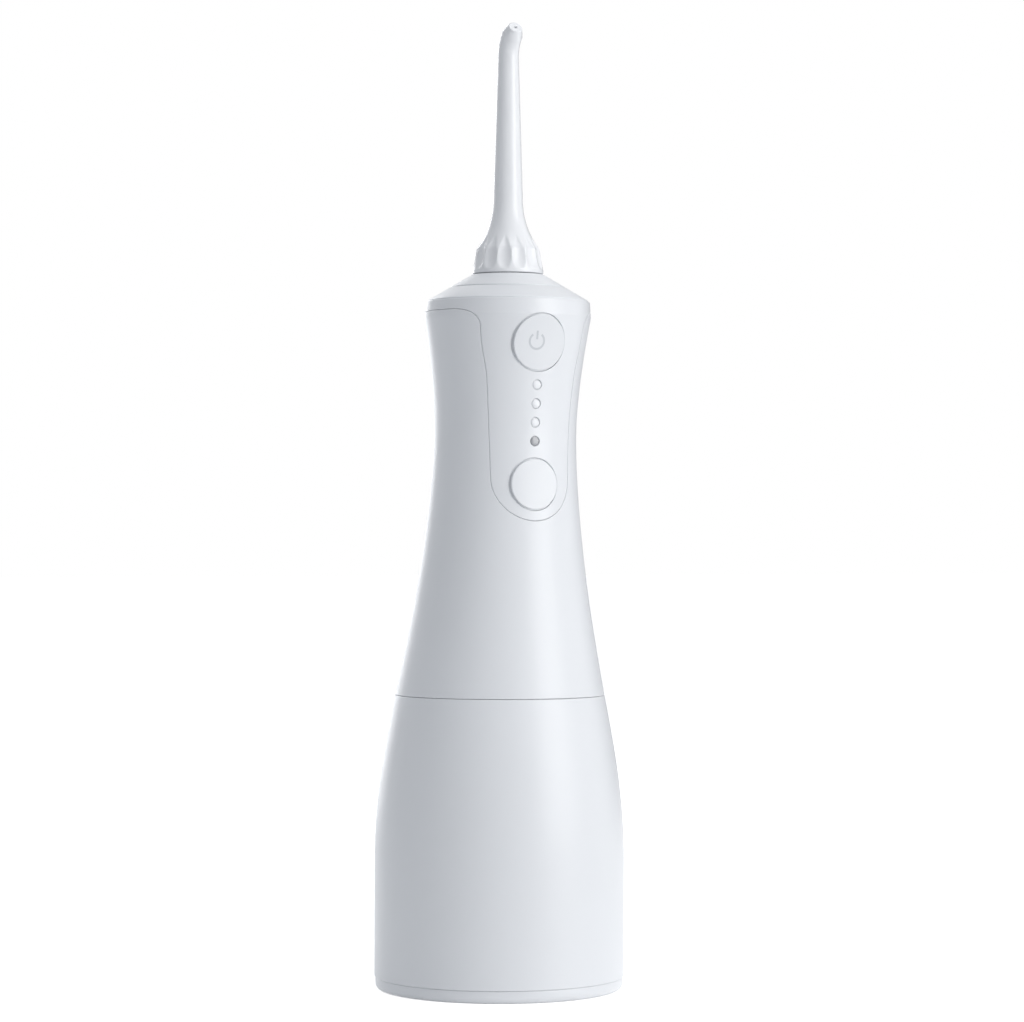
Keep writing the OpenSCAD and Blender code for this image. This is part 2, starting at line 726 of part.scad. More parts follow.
// Pump: the rod hangs from the piston and its eye stands beside the crank pin
piston_low_z = 132;
piston_h = 8;
piston_seal_z = 138;
piston_seal_r = 0.6;
rod_t = 3;
eye_r = 2.6;
module piston_rod() {
  piston_r = pump_bore_r - running;
  groove = 2 * piston_seal_r;
  color(white) union() {
    translate([pump_x, drive_y, 0]) rotate_extrude() polygon([
      [0, piston_low_z], [piston_r, piston_low_z], [piston_r, piston_seal_z - piston_seal_r],
      [piston_r - groove, piston_seal_z - piston_seal_r], [piston_r - groove, piston_seal_z + piston_seal_r],
      [piston_r, piston_seal_z + piston_seal_r], [piston_r, piston_low_z + piston_h],
      [0, piston_low_z + piston_h]]);
    difference() {
      union() {
        rod_x(eye_r, rod_x0, rod_x0 + rod_w, drive_y, crank_z - crank_r);
        block([rod_x0, drive_y - rod_t / 2, crank_z - crank_r],
          [rod_x0 + rod_w, drive_y + rod_t / 2, piston_low_z + 1]);
      }
      rod_x(pin_r + running, rod_x0 - 1, rod_x0 + rod_w + 1, drive_y, crank_z - crank_r);
    }
  }
}
module piston_seal() {
  color(dark) translate([pump_x, 0, 0])
    ring_seal(pump_bore_r - running / 2 - piston_seal_r, piston_seal_r - eps, piston_seal_z, drive_y);
}
module pump_cylinder() {
  color(clear) tube_z(pump_bore_r + pump_wall, pump_bore_r, pump_low_z, pump_top_z, pump_x, drive_y);
}
head_r = 6.2;
head_h = 7;
port_half = 2.3;
port_y = 3;
valve_r = 1.6;
valve_t = 0.8;
inlet_valve_z = pump_top_z + 1.2;
outlet_valve_z = pump_top_z + 3.4;
module pump_head() {
  top = pump_top_z + head_h;
  color(grey) difference() {
    union() {
      translate([pump_x, drive_y, pump_top_z]) cylinder(r = head_r, h = head_h);
      block([line_x - port_half, drive_y, pump_top_z + valve_t],
        [line_x + port_half, line_y + port_half, top - valve_t]);
      translate([line_x, line_y, pump_top_z - spigot_reach / 2]) cylinder(r = spigot_r, h = spigot_reach);
      translate([pump_x, drive_y, top - eps]) cylinder(r = nipple_r, h = spigot_reach / 2);
    }
    translate([line_x, line_y, pump_top_z - far]) cylinder(r = spigot_bore_r, h = far + head_h / 2);
    block([line_x - nipple_bore_r, drive_y + port_y, pump_top_z + head_h / 3],
      [line_x + nipple_bore_r, line_y + nipple_bore_r / 2, pump_top_z + head_h / 2 + eps]);
    translate([line_x, drive_y + port_y, pump_top_z - 1]) cylinder(r = spigot_bore_r, h = head_h / 2 + 1);
    translate([line_x, drive_y + port_y, inlet_valve_z]) cylinder(r = valve_r + running, h = 2 * valve_t);
    translate([pump_x, drive_y, pump_top_z - 1]) cylinder(r = nipple_bore_r, h = far);
    translate([pump_x, drive_y, outlet_valve_z]) cylinder(r = valve_r + running, h = 2 * valve_t);
  }
}
module pump_valves() {
  color(dark) {
    translate([line_x, drive_y + port_y, inlet_valve_z]) cylinder(r = valve_r, h = valve_t);
    translate([pump_x, drive_y, outlet_valve_z]) cylinder(r = valve_r, h = valve_t);
  }
}
module inlet_hose() {
  color(clear) tube_z(hose_r, hose_bore_r, plate_low_z + 0.2, pump_top_z, line_x, line_y);
}

// The pressure hose leaves the pump upwards and swings over to the nozzle's axis in an S
p_hose_r = 2.4;
p_hose_bore_r = 1.5;
swing_low_z = 164;
swing_high_z = 178;
module pressure_hose() {
  low_z = pump_top_z + head_h + 0.1;
  high_z = socket_low_z - 0.1;
  rings = 14;
  sides = 16;
  reach = [-pump_x, -lean - drive_y];
  swing = swing_high_z - swing_low_z;
  heights = concat([low_z], [for (i = [0:rings]) swing_low_z + swing * i / rings], [high_z]);
  moved = function(z) ease(share(z, swing_low_z, swing_high_z));
  tilt = function(z) let(t = share(z, swing_low_z, swing_high_z))
    atan(6 * t * (1 - t) * norm(reach) / swing);
  ahead = reach / norm(reach);
  spot = function(z, r, k) let(a = 360 * k / sides, u = r * cos(a), v = r * sin(a))
    [pump_x + reach[0] * moved(z) + u * cos(tilt(z)) * ahead[0] - v * ahead[1],
     drive_y + reach[1] * moved(z) + u * cos(tilt(z)) * ahead[1] + v * ahead[0],
     z - u * sin(tilt(z))];
  last = len(heights) - 1;
  points = concat(
    [for (z = heights, k = [0:sides - 1]) spot(z, p_hose_r, k)],
    [for (z = heights, k = [0:sides - 1]) spot(z, p_hose_bore_r, k)]);
  inner = (last + 1) * sides;
  faces = [for (k = [0:sides - 1]) let(n = (k + 1) % sides) each concat(
    [for (i = [0:last - 1]) [i * sides + k, (i + 1) * sides + k, (i + 1) * sides + n, i * sides + n]],
    [for (i = [0:last - 1]) [inner + i * sides + k, inner + i * sides + n,
      inner + (i + 1) * sides + n, inner + (i + 1) * sides + k]],
    [[k, n, inner + n, inner + k]],
    [[last * sides + n, last * sides + k, inner + last * sides + k, inner + last * sides + n]])];
  color(clear) polyhedron(points, faces);
}

// Cell and electronics
button_h = 1.2;
cell_button_r = 2.8;
contact_r = 3.4;
contact_t = 0.4;
module battery_cell() {
  color(green) translate([cell_x, cell_y, cell_low_z]) {
    cylinder(r = cell_r, h = cell_len - button_h);
    translate([0, 0, cell_len - button_h - eps]) cylinder(r = cell_button_r, h = button_h);
  }
}
module battery_contacts() {
  color(steel) for (z = [cell_low_z - contact_t, cell_low_z + cell_len])
    translate([cell_x, cell_y, z]) cylinder(r = contact_r, h = contact_t);
}
module circuit_board() {
  color(green) block([-board_x, board_y, board_low_z], [board_x, board_y + board_t, board_top_z]);
}
switch_half = 3;
switch_h = 2.6;
plunger_r = 1.6;
plunger_h = 0.7;
module tact_switches() {
  color(dark) for (z = [mode_z, power_z]) {
    block([-switch_half, board_y - switch_h, z - switch_half], [switch_half, board_y, z + switch_half]);
    rod_y(plunger_r, board_y - switch_h - plunger_h, board_y - switch_h + eps, 0, z);
  }
}
led_t = 0.8;
module board_leds() {
  color(clear) for (i = [0:3]) {
    z = light_z + i * light_pitch;
    block([-0.8, board_y - led_t, z - 0.5], [0.8, board_y, z + 0.5]);
  }
}
light_sink = 0.05;
module light_pipes() {
  color(clear) for (i = [0:3]) {
    z = light_z + i * light_pitch;
    rod_y(light_r, lean_y(z) - outline_r(z) + light_sink, board_y - led_t - 0.2, 0, z);
  }
}

// Front buttons: a face in the panel, a flange behind the shell and a stem to the switch
flange_over = 0.9;
flange_t = 1.2;
stem_gap = 0.8;
function inner_y(z, x) = lean_y(z) - sqrt(pow(outline_r(z) - wall, 2) - x * x);
function key_flange_y(r, z) = gap + max([for (dz = [-r, 0, r]) inner_y(z + dz, r + flange_over)]);
module front_button(r, z) {
  flange_y = key_flange_y(r, z);
  stem_y = board_y - switch_h - plunger_h - stem_gap;
  intersection() {
    leaned() skin_slug(z - r - 4, z + r + 4, 0);
    union() {
      rod_y(r, -far, flange_y + eps, 0, z);
      rod_y(r + flange_over, flange_y, flange_y + flange_t, 0, z);
      rod_y(2.5, flange_y, max(stem_y, flange_y + flange_t), 0, z);
    }
  }
}
module power_button() {
  color(white) front_button(power_r, power_z);
}
module mode_button() {
  color(white) front_button(mode_r, mode_z);
}

// Release button on the back: its tongue reaches the window in the socket
release_press = 1.5;
release_proud = 0.5;
release_flange_r = 6;
release_flange_t = 1.2;
release_flange_y = 13;
tongue_half_w = 2;
tongue_tip_y = -lean + stem_r + gap + release_press;
module release_button() {
  face_y = lean_y(release_z) + outline_r(release_z) + release_proud;
  tongue_top_z = tongue_low_z + tongue_h;
  color(white) {
    rod_y(release_r, release_flange_y, face_y, 0, release_z);
    rod_y(release_flange_r, release_flange_y, release_flange_y + release_flange_t, 0, release_z);
    block([-tongue_half_w, tongue_tip_y, tongue_low_z],
      [tongue_half_w, release_flange_y + eps, tongue_top_z]);
  }
}

// Spring of the release button, as rings joined into one bellows of the same size
spring_r = 3.4;
spring_y0 = 2.9;
spring_y1 = 12.7;
spring_turns = 5;
wire_r = 0.35;
module release_spring() {
  pitch = (spring_y1 - spring_y0 - 2 * wire_r) / spring_turns;
  steps = 18;
  turn_z = tongue_low_z + tongue_h / 2;
  at = function(i) [spring_r * cos(360 * i / steps), spring_y0 + wire_r + pitch * i / steps,
    turn_z + spring_r * sin(360 * i / steps)];
  ring = 6;
  count = spring_turns * steps;
  outward = function(i) [cos(360 * i / steps), 0, sin(360 * i / steps)];
  side = function(i, k) at(i) + wire_r * (cos(360 * k / ring) * outward(i) + sin(360 * k / ring) * [0, 1, 0]);
  points = [for (i = [0:count], k = [0:ring - 1]) side(i, k)];
  faces = concat(
    [[for (k = [0:ring - 1]) k]],
    [for (i = [0:count - 1], k = [0:ring - 1]) let(n = (k + 1) % ring)
      [i * ring + k, (i + 1) * ring + k, (i + 1) * ring + n, i * ring + n]],
    [[for (k = [ring - 1:-1:0]) count * ring + k]]);
  color(steel) polyhedron(points, faces);
}

// Charging inlet and its flap
socket_half_w = 4.6;
socket_half_h = 1.7;
socket_depth = 7.5;
socket_front_y = 21.8;
shell_t = 0.4;
module charge_socket() {
  color(steel) difference() {
    block([-socket_half_w, socket_front_y - socket_depth, charge_z - socket_half_h],
      [socket_half_w, socket_front_y, charge_z + socket_half_h]);
    block([-socket_half_w + shell_t, socket_front_y - socket_depth + 1, charge_z - socket_half_h + shell_t],
      [socket_half_w - shell_t, socket_front_y + 1, charge_z + socket_half_h - shell_t]);
  }
}
function back_y(z) = lean_y(z) + outline_r(z);
module charge_cover() {
  color(pearl) union() {
    intersection() {
      leaned() skin_ring(charge_z - 8, charge_z + 8, 0, cover_depth);
      prism_back(10) rounded_plate(cover_half_w, cover_half_h, cover_corner_r, charge_z);
    }
    intersection() {
      leaned() skin_ring(charge_z - 8, charge_z + 8, cover_depth / 2, cover_depth + cover_plug_depth);
      prism_back(10) rounded_plate(cover_plug_half_w, cover_plug_half_h, 0.8, charge_z);
    }
  }
}

tank_shell();
tank_base();
tank_base_seal();
fill_cap();
grip_shell();
front_fascia();
top_cap();
handle_base();
tank_seal();
dip_tube();
inlet_filter();
inner_frame();
frame_screws();
motor_can();
motor_end_cap();
motor_terminals();
gear_axle();
pump_cylinder();
pump_head();
pump_valves();
inlet_hose();
pressure_hose();
battery_cell();
battery_contacts();
circuit_board();
tact_switches();
board_leds();
light_pipes();
charge_socket();
charge_cover();
nozzle_socket();
release_spring();
power_button();
mode_button();
release_button();
nozzle_dial();
dial_seal();
nozzle_body();
nozzle_seal();
motor_shaft();
drive_pinion();
crank_gear();
crank_pin();
piston_rod();
piston_seal();
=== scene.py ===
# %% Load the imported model
import bmesh
import bpy
from math import asin, atan2, ceil, copysign, cos, degrees, hypot, pi, radians, sin, sqrt, tan
from mathutils import Matrix, Vector
from mathutils.bvhtree import BVHTree


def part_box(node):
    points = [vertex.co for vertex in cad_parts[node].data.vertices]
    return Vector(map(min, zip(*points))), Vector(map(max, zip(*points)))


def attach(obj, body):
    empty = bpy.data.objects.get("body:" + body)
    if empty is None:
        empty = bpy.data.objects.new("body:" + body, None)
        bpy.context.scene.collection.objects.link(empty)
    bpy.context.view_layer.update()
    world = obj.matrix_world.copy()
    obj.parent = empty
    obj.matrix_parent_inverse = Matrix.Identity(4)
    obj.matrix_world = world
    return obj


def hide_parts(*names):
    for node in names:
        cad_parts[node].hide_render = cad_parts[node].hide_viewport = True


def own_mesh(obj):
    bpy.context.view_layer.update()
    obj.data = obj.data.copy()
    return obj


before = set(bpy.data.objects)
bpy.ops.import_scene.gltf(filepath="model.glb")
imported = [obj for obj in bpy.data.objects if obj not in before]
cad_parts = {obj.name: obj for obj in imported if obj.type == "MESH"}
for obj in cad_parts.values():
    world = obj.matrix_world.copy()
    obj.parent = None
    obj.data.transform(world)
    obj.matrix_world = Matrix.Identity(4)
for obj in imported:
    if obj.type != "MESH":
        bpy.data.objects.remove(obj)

scene = bpy.context.scene
scene.view_settings.view_transform = "Standard"
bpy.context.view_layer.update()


def placed(name, data):
    """A new object in the scene."""
    made = bpy.data.objects.new(name, data)
    scene.collection.objects.link(made)
    return made


# %% [markdown]
# ## The body's outline
# The flosser is one round bottle shape, wide at the tank and narrow at the grip. Its radius could be
# stored as a long table, or drawn as a curve by hand. Here it is one small function of the height, so every
# shell, panel and button follows one line. It is the solid model's line, with a flare above the waist that
# was fitted to the photograph once more. The handle leans forward, so its centre moves towards the front.

# %% The body's outline
MM = 0.001
TANK_R, WAIST_R, WAIST_Z = 36.0, 20.5, 161.0
TAPER_Z, FLARE_Z, FLARE, FLARE_POWER = 37, 193, 3.5, 1.62
TAPER_BOW, RIM_DROP = 0.75, 0.4
SPLIT_Z, COLLAR_Z, RIM_Z = 84.6, 194.4, 197.5
HALF_SEAM = 0.175
SHOWN_SEAM = 0.05
WALL = 2.4
LEAN = 5.0
LEAN_SLOPE = LEAN / (RIM_Z - SPLIT_Z)


def share(z, low, high):
    """How far z has come from low to high, from 0 to 1."""
    return min(1.0, max(0.0, (z - low) / (high - low)))


def outline_r(z):
    """Radius of the body, in mm, at height z."""
    if z > WAIST_Z:
        return (WAIST_R + FLARE * share(z, WAIST_Z, FLARE_Z) ** FLARE_POWER
                - RIM_DROP * share(z, FLARE_Z, RIM_Z))
    t = share(z, TAPER_Z, WAIST_Z)
    return TANK_R - (TANK_R - WAIST_R) * t * t * (3 - 2 * t) - TAPER_BOW * (4 * t * (1 - t)) ** 4


def lean_y(z):
    """Where the body's axis lies, towards the back, at height z."""
    return -LEAN_SLOPE * (z - SPLIT_Z) if z > SPLIT_Z else 0.0


for name, z in (("tank", 30), ("split", SPLIT_Z), ("waist", WAIST_Z), ("rim", RIM_Z)):
    print(f"{name}: radius {outline_r(z):.2f} mm at {z} mm")

# %% [markdown]
# ## The camera
# The photograph looks at the flosser from its front left, level with its middle, with a long lens.
# A camera could be moved about until it looks right. It is quicker to write down where it stands, which point
# it looks at and how long its lens is.

# %% The camera
PICTURE_W, PICTURE_H = 1024, 1022
CAMERA_AZIMUTH = -24.35
CAMERA_DISTANCE = 0.9817
CAMERA_Z = 0.1321
AIM = Vector((0.00313, -0.00142, 0.13757))
CAMERA_ROLL = -0.14
LENS, SENSOR = 119.5, 36.0

turn = radians(CAMERA_AZIMUTH)
camera_data = bpy.data.cameras.new("camera")
camera_data.lens, camera_data.sensor_width, camera_data.sensor_fit = LENS, SENSOR, "AUTO"
camera = placed("camera", camera_data)
camera.location = (CAMERA_DISTANCE * sin(turn), -CAMERA_DISTANCE * cos(turn), CAMERA_Z)
look = (AIM - camera.location).to_track_quat("-Z", "Y").to_matrix().to_4x4()
roll = Matrix.Rotation(radians(-CAMERA_ROLL), 4, "Z")
camera.matrix_world = Matrix.Translation(camera.location) @ look @ roll
scene.camera = camera
bpy.context.view_layer.update()
print("camera at", camera.location)

# %% [markdown]
# ## Points read off the photograph
# A camera that only looks right drifts as a scene grows. These named points were read off the picture in
# pixels. The power sign is placed at its point, and at the end the script projects its own pieces and finds
# which of their vertices show.

# %% Points of the photograph
PHOTO = {
    "left_edge_x": 375, "right_edge_x": 625, "top_y": 24, "bottom_y": 1004,
    "power_key": (534.8, 342.5), "mode_key": (533.0, 483.4), "power_sign": (537, 341),
    "light_4": (537, 385), "light_3": (536, 404), "light_2": (535.5, 423), "light_1": (535, 441),
    "panel_foot": (536, 520.6), "cap_left": (427.5, 301), "cap_right": (588.5, 301),
    "bell_left": (472, 274), "split_front": (470, 699.5),
}
PIXELS = max(PICTURE_W, PICTURE_H) * LENS / SENSOR


def place_on(tree, x, y):
    """The place on a surface that shows at a point of the photograph."""
    inside = Vector((x - PICTURE_W / 2, PICTURE_H / 2 - y, -PIXELS))
    way = (camera.matrix_world.to_3x3() @ inside).normalized()
    return tree.ray_cast(camera.matrix_world.translation, way)[0]


def shows_at(place):
    """Where a place in space shows in the photograph's frame."""
    inside = camera.matrix_world.inverted() @ Vector(place)
    size = PIXELS / -inside.z
    return PICTURE_W / 2 + inside.x * size, PICTURE_H / 2 - inside.y * size


print("the power key's middle shows at", shows_at((0, -0.0278, 0.185)))

# %% [markdown]
# ## Finishes
# Every piece is moulded, pressed or turned, and its surface tells how. One flat colour would look like
# a drawing. A small group of nodes therefore adds what all moulded plastic has: a hint of uneven tone,
# a fine spark-eroded grain and a gloss that is not quite even. Each material places the group with its
# own numbers, and keeps its own shader. One function makes every such group, since all of them give a
# colour, a roughness between two limits, and a height.

# %% The moulded surface group
NOISE_LOW, NOISE_HIGH = 0.3, 0.7  # between these lies most of a noise


def set_input(tree, socket, value):
    """Gives an input its number or its link."""
    if isinstance(value, bpy.types.NodeSocket):
        tree.links.new(value, socket)
    else:
        socket.default_value = value


def set_inputs(tree, node, values):
    """Fills the named inputs of a node; a blank in a name is written as _."""
    for label, value in values.items():
        set_input(tree, node.inputs[label.replace("_", " ")], value)


def add_node(tree, kind, operation=None, *in_order, **values):
    """A node, with its inputs filled in order, by name, or both."""
    node = tree.nodes.new(kind)
    if operation:
        node.operation = operation
    for socket, value in zip(node.inputs, in_order):
        set_input(tree, socket, value)
    set_inputs(tree, node, values)
    return node


def noise_at(tree, where, scale, detail=3.0):
    return add_node(tree, "ShaderNodeTexNoise", Vector=where, Scale=scale, Detail=detail).outputs["Fac"]


def spread(tree, noise, low, high):
    """Turns a noise into a number from low to high."""
    return add_node(tree, "ShaderNodeMapRange", Value=noise, From_Min=NOISE_LOW, From_Max=NOISE_HIGH,
                    To_Min=low, To_Max=high).outputs["Result"]


def maths(tree, operation, *values):
    return add_node(tree, "ShaderNodeMath", operation, *values).outputs[0]


def mean_of(tree, first, second):
    return maths(tree, "MULTIPLY", maths(tree, "ADD", first, second), 0.5)


def toned(tree, color, tone):
    """A colour made darker or lighter by a number."""
    return add_node(tree, "ShaderNodeVectorMath", "SCALE", color, Scale=tone).outputs[0]


def surface_group(name, layers, **numbers):
    """A node group from its numbers to a surface; layers gives its colour, gloss noise and height."""
    kinds = {4: "NodeSocketColor", 3: "NodeSocketVector", 1: "NodeSocketFloat"}
    group = bpy.data.node_groups.new(name, "ShaderNodeTree")
    for label, value in numbers.items():
        kind = kinds[len(value) if isinstance(value, tuple) else 1]
        socket = group.interface.new_socket(label.replace("_", " "), in_out="INPUT", socket_type=kind)
        socket.default_value = value
    for label, parts in (("Color", 4), ("Roughness", 1), ("Height", 1)):
        group.interface.new_socket(label, in_out="OUTPUT", socket_type=kinds[parts])
    given = group.nodes.new("NodeGroupInput").outputs
    color, gloss_noise, height = layers(group, given, group.nodes.new("ShaderNodeTexCoord").outputs["Object"])
    dullest = maths(group, "ADD", given["Gloss"], given["Gloss Change"])
    rough = spread(group, gloss_noise, given["Gloss"], dullest)
    set_inputs(group, group.nodes.new("NodeGroupOutput"),
               {"Color": color, "Roughness": rough, "Height": height})
    print("group", name, "with", len(group.nodes), "nodes")
    return group


def moulded_layers(tree, given, where):
    broad = noise_at(tree, where, 22.0)
    fine = noise_at(tree, where, given["Grain"], detail=2.0)
    tone = spread(tree, broad, maths(tree, "SUBTRACT", 1.0, given["Tone"]), 1.0)
    return toned(tree, given["Color"], tone), mean_of(tree, broad, fine), fine


moulded = surface_group("moulded_surface", moulded_layers, Color=(0.8, 0.8, 0.8, 1), Tone=0.02, Gloss=0.4,
                        Gloss_Change=0.04, Grain=900.0)

# %% [markdown]
# ## Turned metal
# A turned or drawn metal part shows fine lines round its axis. A picture of lines would need to be wrapped
# round each piece. Noise that is stretched along two axes gives the same lines in space, on any shape.

# %% The turned metal group
def turned_layers(tree, given, where):
    pulled = add_node(tree, "ShaderNodeVectorMath", "MULTIPLY", where, given["Stretch"])
    lines = noise_at(tree, pulled.outputs[0], given["Lines"], detail=4.0)
    handled = noise_at(tree, where, 120.0)
    return toned(tree, given["Color"], spread(tree, lines, 0.88, 1.0)), mean_of(tree, handled, lines), lines


turned_metal = surface_group("turned_metal", turned_layers, Color=(0.6, 0.6, 0.6, 1), Stretch=(1.0, 0.03, 0.03),
                             Lines=4000.0, Gloss=0.25, Gloss_Change=0.15)

# %% [markdown]
# ## Printed board
# The board's copper runs under green lacquer, as thin straight lines a little lighter than the rest. A
# brick texture with very long bricks gives such lines without a drawing of a real circuit.

# %% The printed board group
def board_layers(tree, given, where):
    upright = add_node(tree, "ShaderNodeMapping", Vector=where, Rotation=(pi / 2, 0, 0))
    runs = add_node(tree, "ShaderNodeTexBrick", Vector=upright.outputs["Vector"], Scale=1000.0,
                    Mortar_Size=0.14, Mortar_Smooth=0.2, Brick_Width=5.2, Row_Height=1.3,
                    Color1=given["Color"], Color2=given["Color"], Mortar=given["Copper"])
    return runs.outputs["Color"], noise_at(tree, where, 300.0), runs.outputs["Fac"]


printed_board = surface_group("printed_board", board_layers, Color=(0.03, 0.22, 0.10, 1),
                              Copper=(0.07, 0.33, 0.15, 1), Gloss=0.3, Gloss_Change=0.1)

# %% [markdown]
# ## Making a finish
# A finish is one material: a group for what changes over the surface, and the Principled shader for the
# rest. One function makes them all, so that every finish is named by its numbers and none is forgotten.
# A gloss that varies must stay on one side of roughness 0.274. Below it the renderer's denoiser leaves the
# gloss out of its guide pictures, so a range that crosses the line prints small marks on a clean surface.

# %% Making a finish
GUIDE_LIMIT = 0.274  # roughness under which the denoiser's guides leave a gloss layer out
finishes = {}


def new_material(name, **values):
    """A material, its node tree and its Principled shader with these inputs."""
    material = bpy.data.materials.new(name)
    material.use_nodes = True
    tree = material.node_tree
    bsdf = next(n for n in tree.nodes if n.type == "BSDF_PRINCIPLED")
    set_inputs(tree, bsdf, values)
    return material, tree, bsdf


def finish_of(name, color, gloss, change=0.05, group=moulded, bump=0.05, depth=0.00004, numbers=None, **values):
    """A material whose colour, gloss and relief come from a surface group and that group's numbers."""
    assert not gloss <= GUIDE_LIMIT <= gloss + change, f"{name}: the gloss range crosses {GUIDE_LIMIT}"
    material, tree, bsdf = new_material(name, **values)
    skin = tree.nodes.new("ShaderNodeGroup")
    skin.node_tree = group
    set_inputs(tree, skin, {"Color": (*color, 1), "Gloss": gloss, "Gloss Change": change, **(numbers or {})})
    relief = add_node(tree, "ShaderNodeBump", Strength=bump, Distance=depth, Height=skin.outputs["Height"])
    set_inputs(tree, bsdf, {"Base Color": skin.outputs["Color"], "Roughness": skin.outputs["Roughness"],
                            "Normal": relief.outputs["Normal"]})
    material.diffuse_color = (*color, 1)
    finishes[name] = material


WHITE = (0.80, 0.815, 0.84)
finish_of("shell_white", WHITE, gloss=0.34, bump=0.06)
finish_of("panel_white", WHITE, gloss=0.30, change=0.04, bump=0.04)
finish_of("button_white", (0.785, 0.80, 0.825), gloss=0.29, change=0.04, bump=0.03)
finish_of("nozzle_white", (0.84, 0.85, 0.87), gloss=0.21, bump=0.03)
print("finishes:", list(finishes))

# %% [markdown]
# ## Shells made flat and bent round
# A shell with holes could be cut with booleans from a turned body, but the cuts leave ragged shading on
# a curved surface. A tinsmith works the other way: the sheet is cut while it is flat, its edges are
# rounded, and then it is rolled. These helpers do the same. On the flat sheet, x is the distance round
# the body, y the depth below the skin and z the height. bending moves every vertex to its place.

# %% Cutting a flat sheet
UNROLL_R = 22.0
BEND_STEP, HEIGHT_STEP = radians(3), 4.0
CUT_SNAP, SEAM_NEAR, PARTNER_NEAR, SEAM_WELD, WELD = 0.004, 0.005, 0.007, 0.008, 0.003
PARALLEL_TO, RADIAL_FROM = 50, 70  # degrees from the middle of the front or the back


def at_front(x, z):
    """Where a point seen from the front at x lies on the flat sheet."""
    return UNROLL_R * asin(x / outline_r(z)), z


def at_back(x, z):
    return UNROLL_R * (pi - asin(x / outline_r(z))), z


def on_sheet(seen_at, points):
    """Points seen from the front or the back, laid on the flat sheet."""
    return [seen_at(x, z) for x, z in points]


def quarter(count, first=0):
    """Angles of a quarter turn in equal steps."""
    return [pi / 2 * i / count for i in range(first, count + 1)]


def ring_points(x, z, r, count=72):
    """Points round a circle, as seen from the front or the back."""
    turns = [2 * pi * i / count for i in range(count)]
    return [(x + r * cos(a), z + r * sin(a)) for a in turns]


def flat_sheet(outer, holes, depth, thickness, edge_r, steps=3):
    """A closed flat sheet with holes, whose outer edges are rounded by edge_r."""
    bm = bmesh.new()
    for loop in [outer] + holes:
        verts = [bm.verts.new((u, depth, z)) for u, z in loop]
        for first, second in zip(verts, verts[1:] + verts[:1]):
            bm.edges.new((first, second))
    bmesh.ops.triangle_fill(bm, use_beauty=True, edges=bm.edges[:], normal=(0, -1, 0))
    made = bmesh.ops.extrude_face_region(bm, geom=bm.faces[:] + bm.edges[:] + bm.verts[:])
    moved = [g for g in made["geom"] if isinstance(g, bmesh.types.BMVert)]
    bmesh.ops.translate(bm, vec=(0, thickness, 0), verts=moved)
    bmesh.ops.recalc_face_normals(bm, faces=bm.faces)
    top = [f for f in bm.faces if all(abs(v.co.y - depth) < 1e-6 for v in f.verts)]
    before = 0.0
    for step in range(1, steps + 1):
        angle = pi / 2 * step / steps
        inset = edge_r * (1 - cos(angle)) - before
        before += inset
        ring = bmesh.ops.inset_region(bm, faces=top, thickness=inset, use_boundary=True,
                                      use_even_offset=True)
        kept = {v for f in top for v in f.verts}
        low = edge_r * (1 - sin(pi / 2 * (step - 1) / steps))
        for v in {v for f in ring["faces"] for v in f.verts} - kept:
            v.co.y = depth + low
    return bm


def cut_along(bm, place, way, **more):
    """Cuts a mesh along a plane."""
    bmesh.ops.bisect_plane(bm, geom=bm.verts[:] + bm.edges[:] + bm.faces[:], dist=CUT_SNAP, plane_co=place,
                           plane_no=way, **more)


def slice_sheet(bm, finer):
    """Cuts the flat sheet into small faces, so that it can be bent."""
    us, zs = [v.co.x for v in bm.verts], [v.co.z for v in bm.verts]
    for found, step, way in ((us, UNROLL_R * BEND_STEP / finer, Vector((1, 0, 0))),
                             (zs, HEIGHT_STEP / finer, Vector((0, 0, 1)))):
        for i in range(ceil(min(found) / step), int(max(found) / step) + 1):
            cut_along(bm, way * (i * step), way)


def bent(u, depth, z):
    """The place in space, in mm, of a point of the flat sheet. Walls near front and back stay parallel."""
    angle, r = u / UNROLL_R, outline_r(z)
    side = degrees(asin(min(1, abs(sin(angle)))))
    radial = share(side, PARALLEL_TO, RADIAL_FROM)
    x = sin(angle) * (r - depth * radial * radial * (3 - 2 * radial))
    y = copysign(sqrt(max(0.0, (r - depth) ** 2 - x * x)), -cos(angle))
    return x, y + lean_y(z), z


def bend_round(bm, finer=1):
    """Bends the sheet round the body; a sheet that goes all the way round is welded at the left side."""
    start, end = -pi / 2 * UNROLL_R, 3 * pi / 2 * UNROLL_R
    if max(v.co.x for v in bm.verts) > end:
        for place, way in ((start, -1), (end, 1)):
            cut_along(bm, (place, 0, 0), (way, 0, 0), clear_outer=True)
    slice_sheet(bm, finer)
    ends = [[v for v in bm.verts if abs(v.co.x - edge) < SEAM_NEAR] for edge in (start, end)]
    odd = [v for mine, other in (ends, ends[::-1]) for v in mine
           if not any(max(abs(v.co.y - w.co.y), abs(v.co.z - w.co.z)) < PARTNER_NEAR for w in other)]
    if ends[0] and ends[1]:
        bmesh.ops.dissolve_verts(bm, verts=odd)
    seam = [v for v in bm.verts if min(abs(v.co.x - start), abs(v.co.x - end)) < SEAM_NEAR]
    for v in bm.verts:
        v.co = bent(*v.co)
    bmesh.ops.remove_doubles(bm, verts=seam, dist=SEAM_WELD)
    bmesh.ops.remove_doubles(bm, verts=bm.verts, dist=WELD)
    return bm


def bent_sheet(outer, holes, depth, thickness, edge_r, steps=3):
    """A flat sheet with rounded edges, bent round the body."""
    return bend_round(flat_sheet(outer, holes, depth, thickness, edge_r, steps))


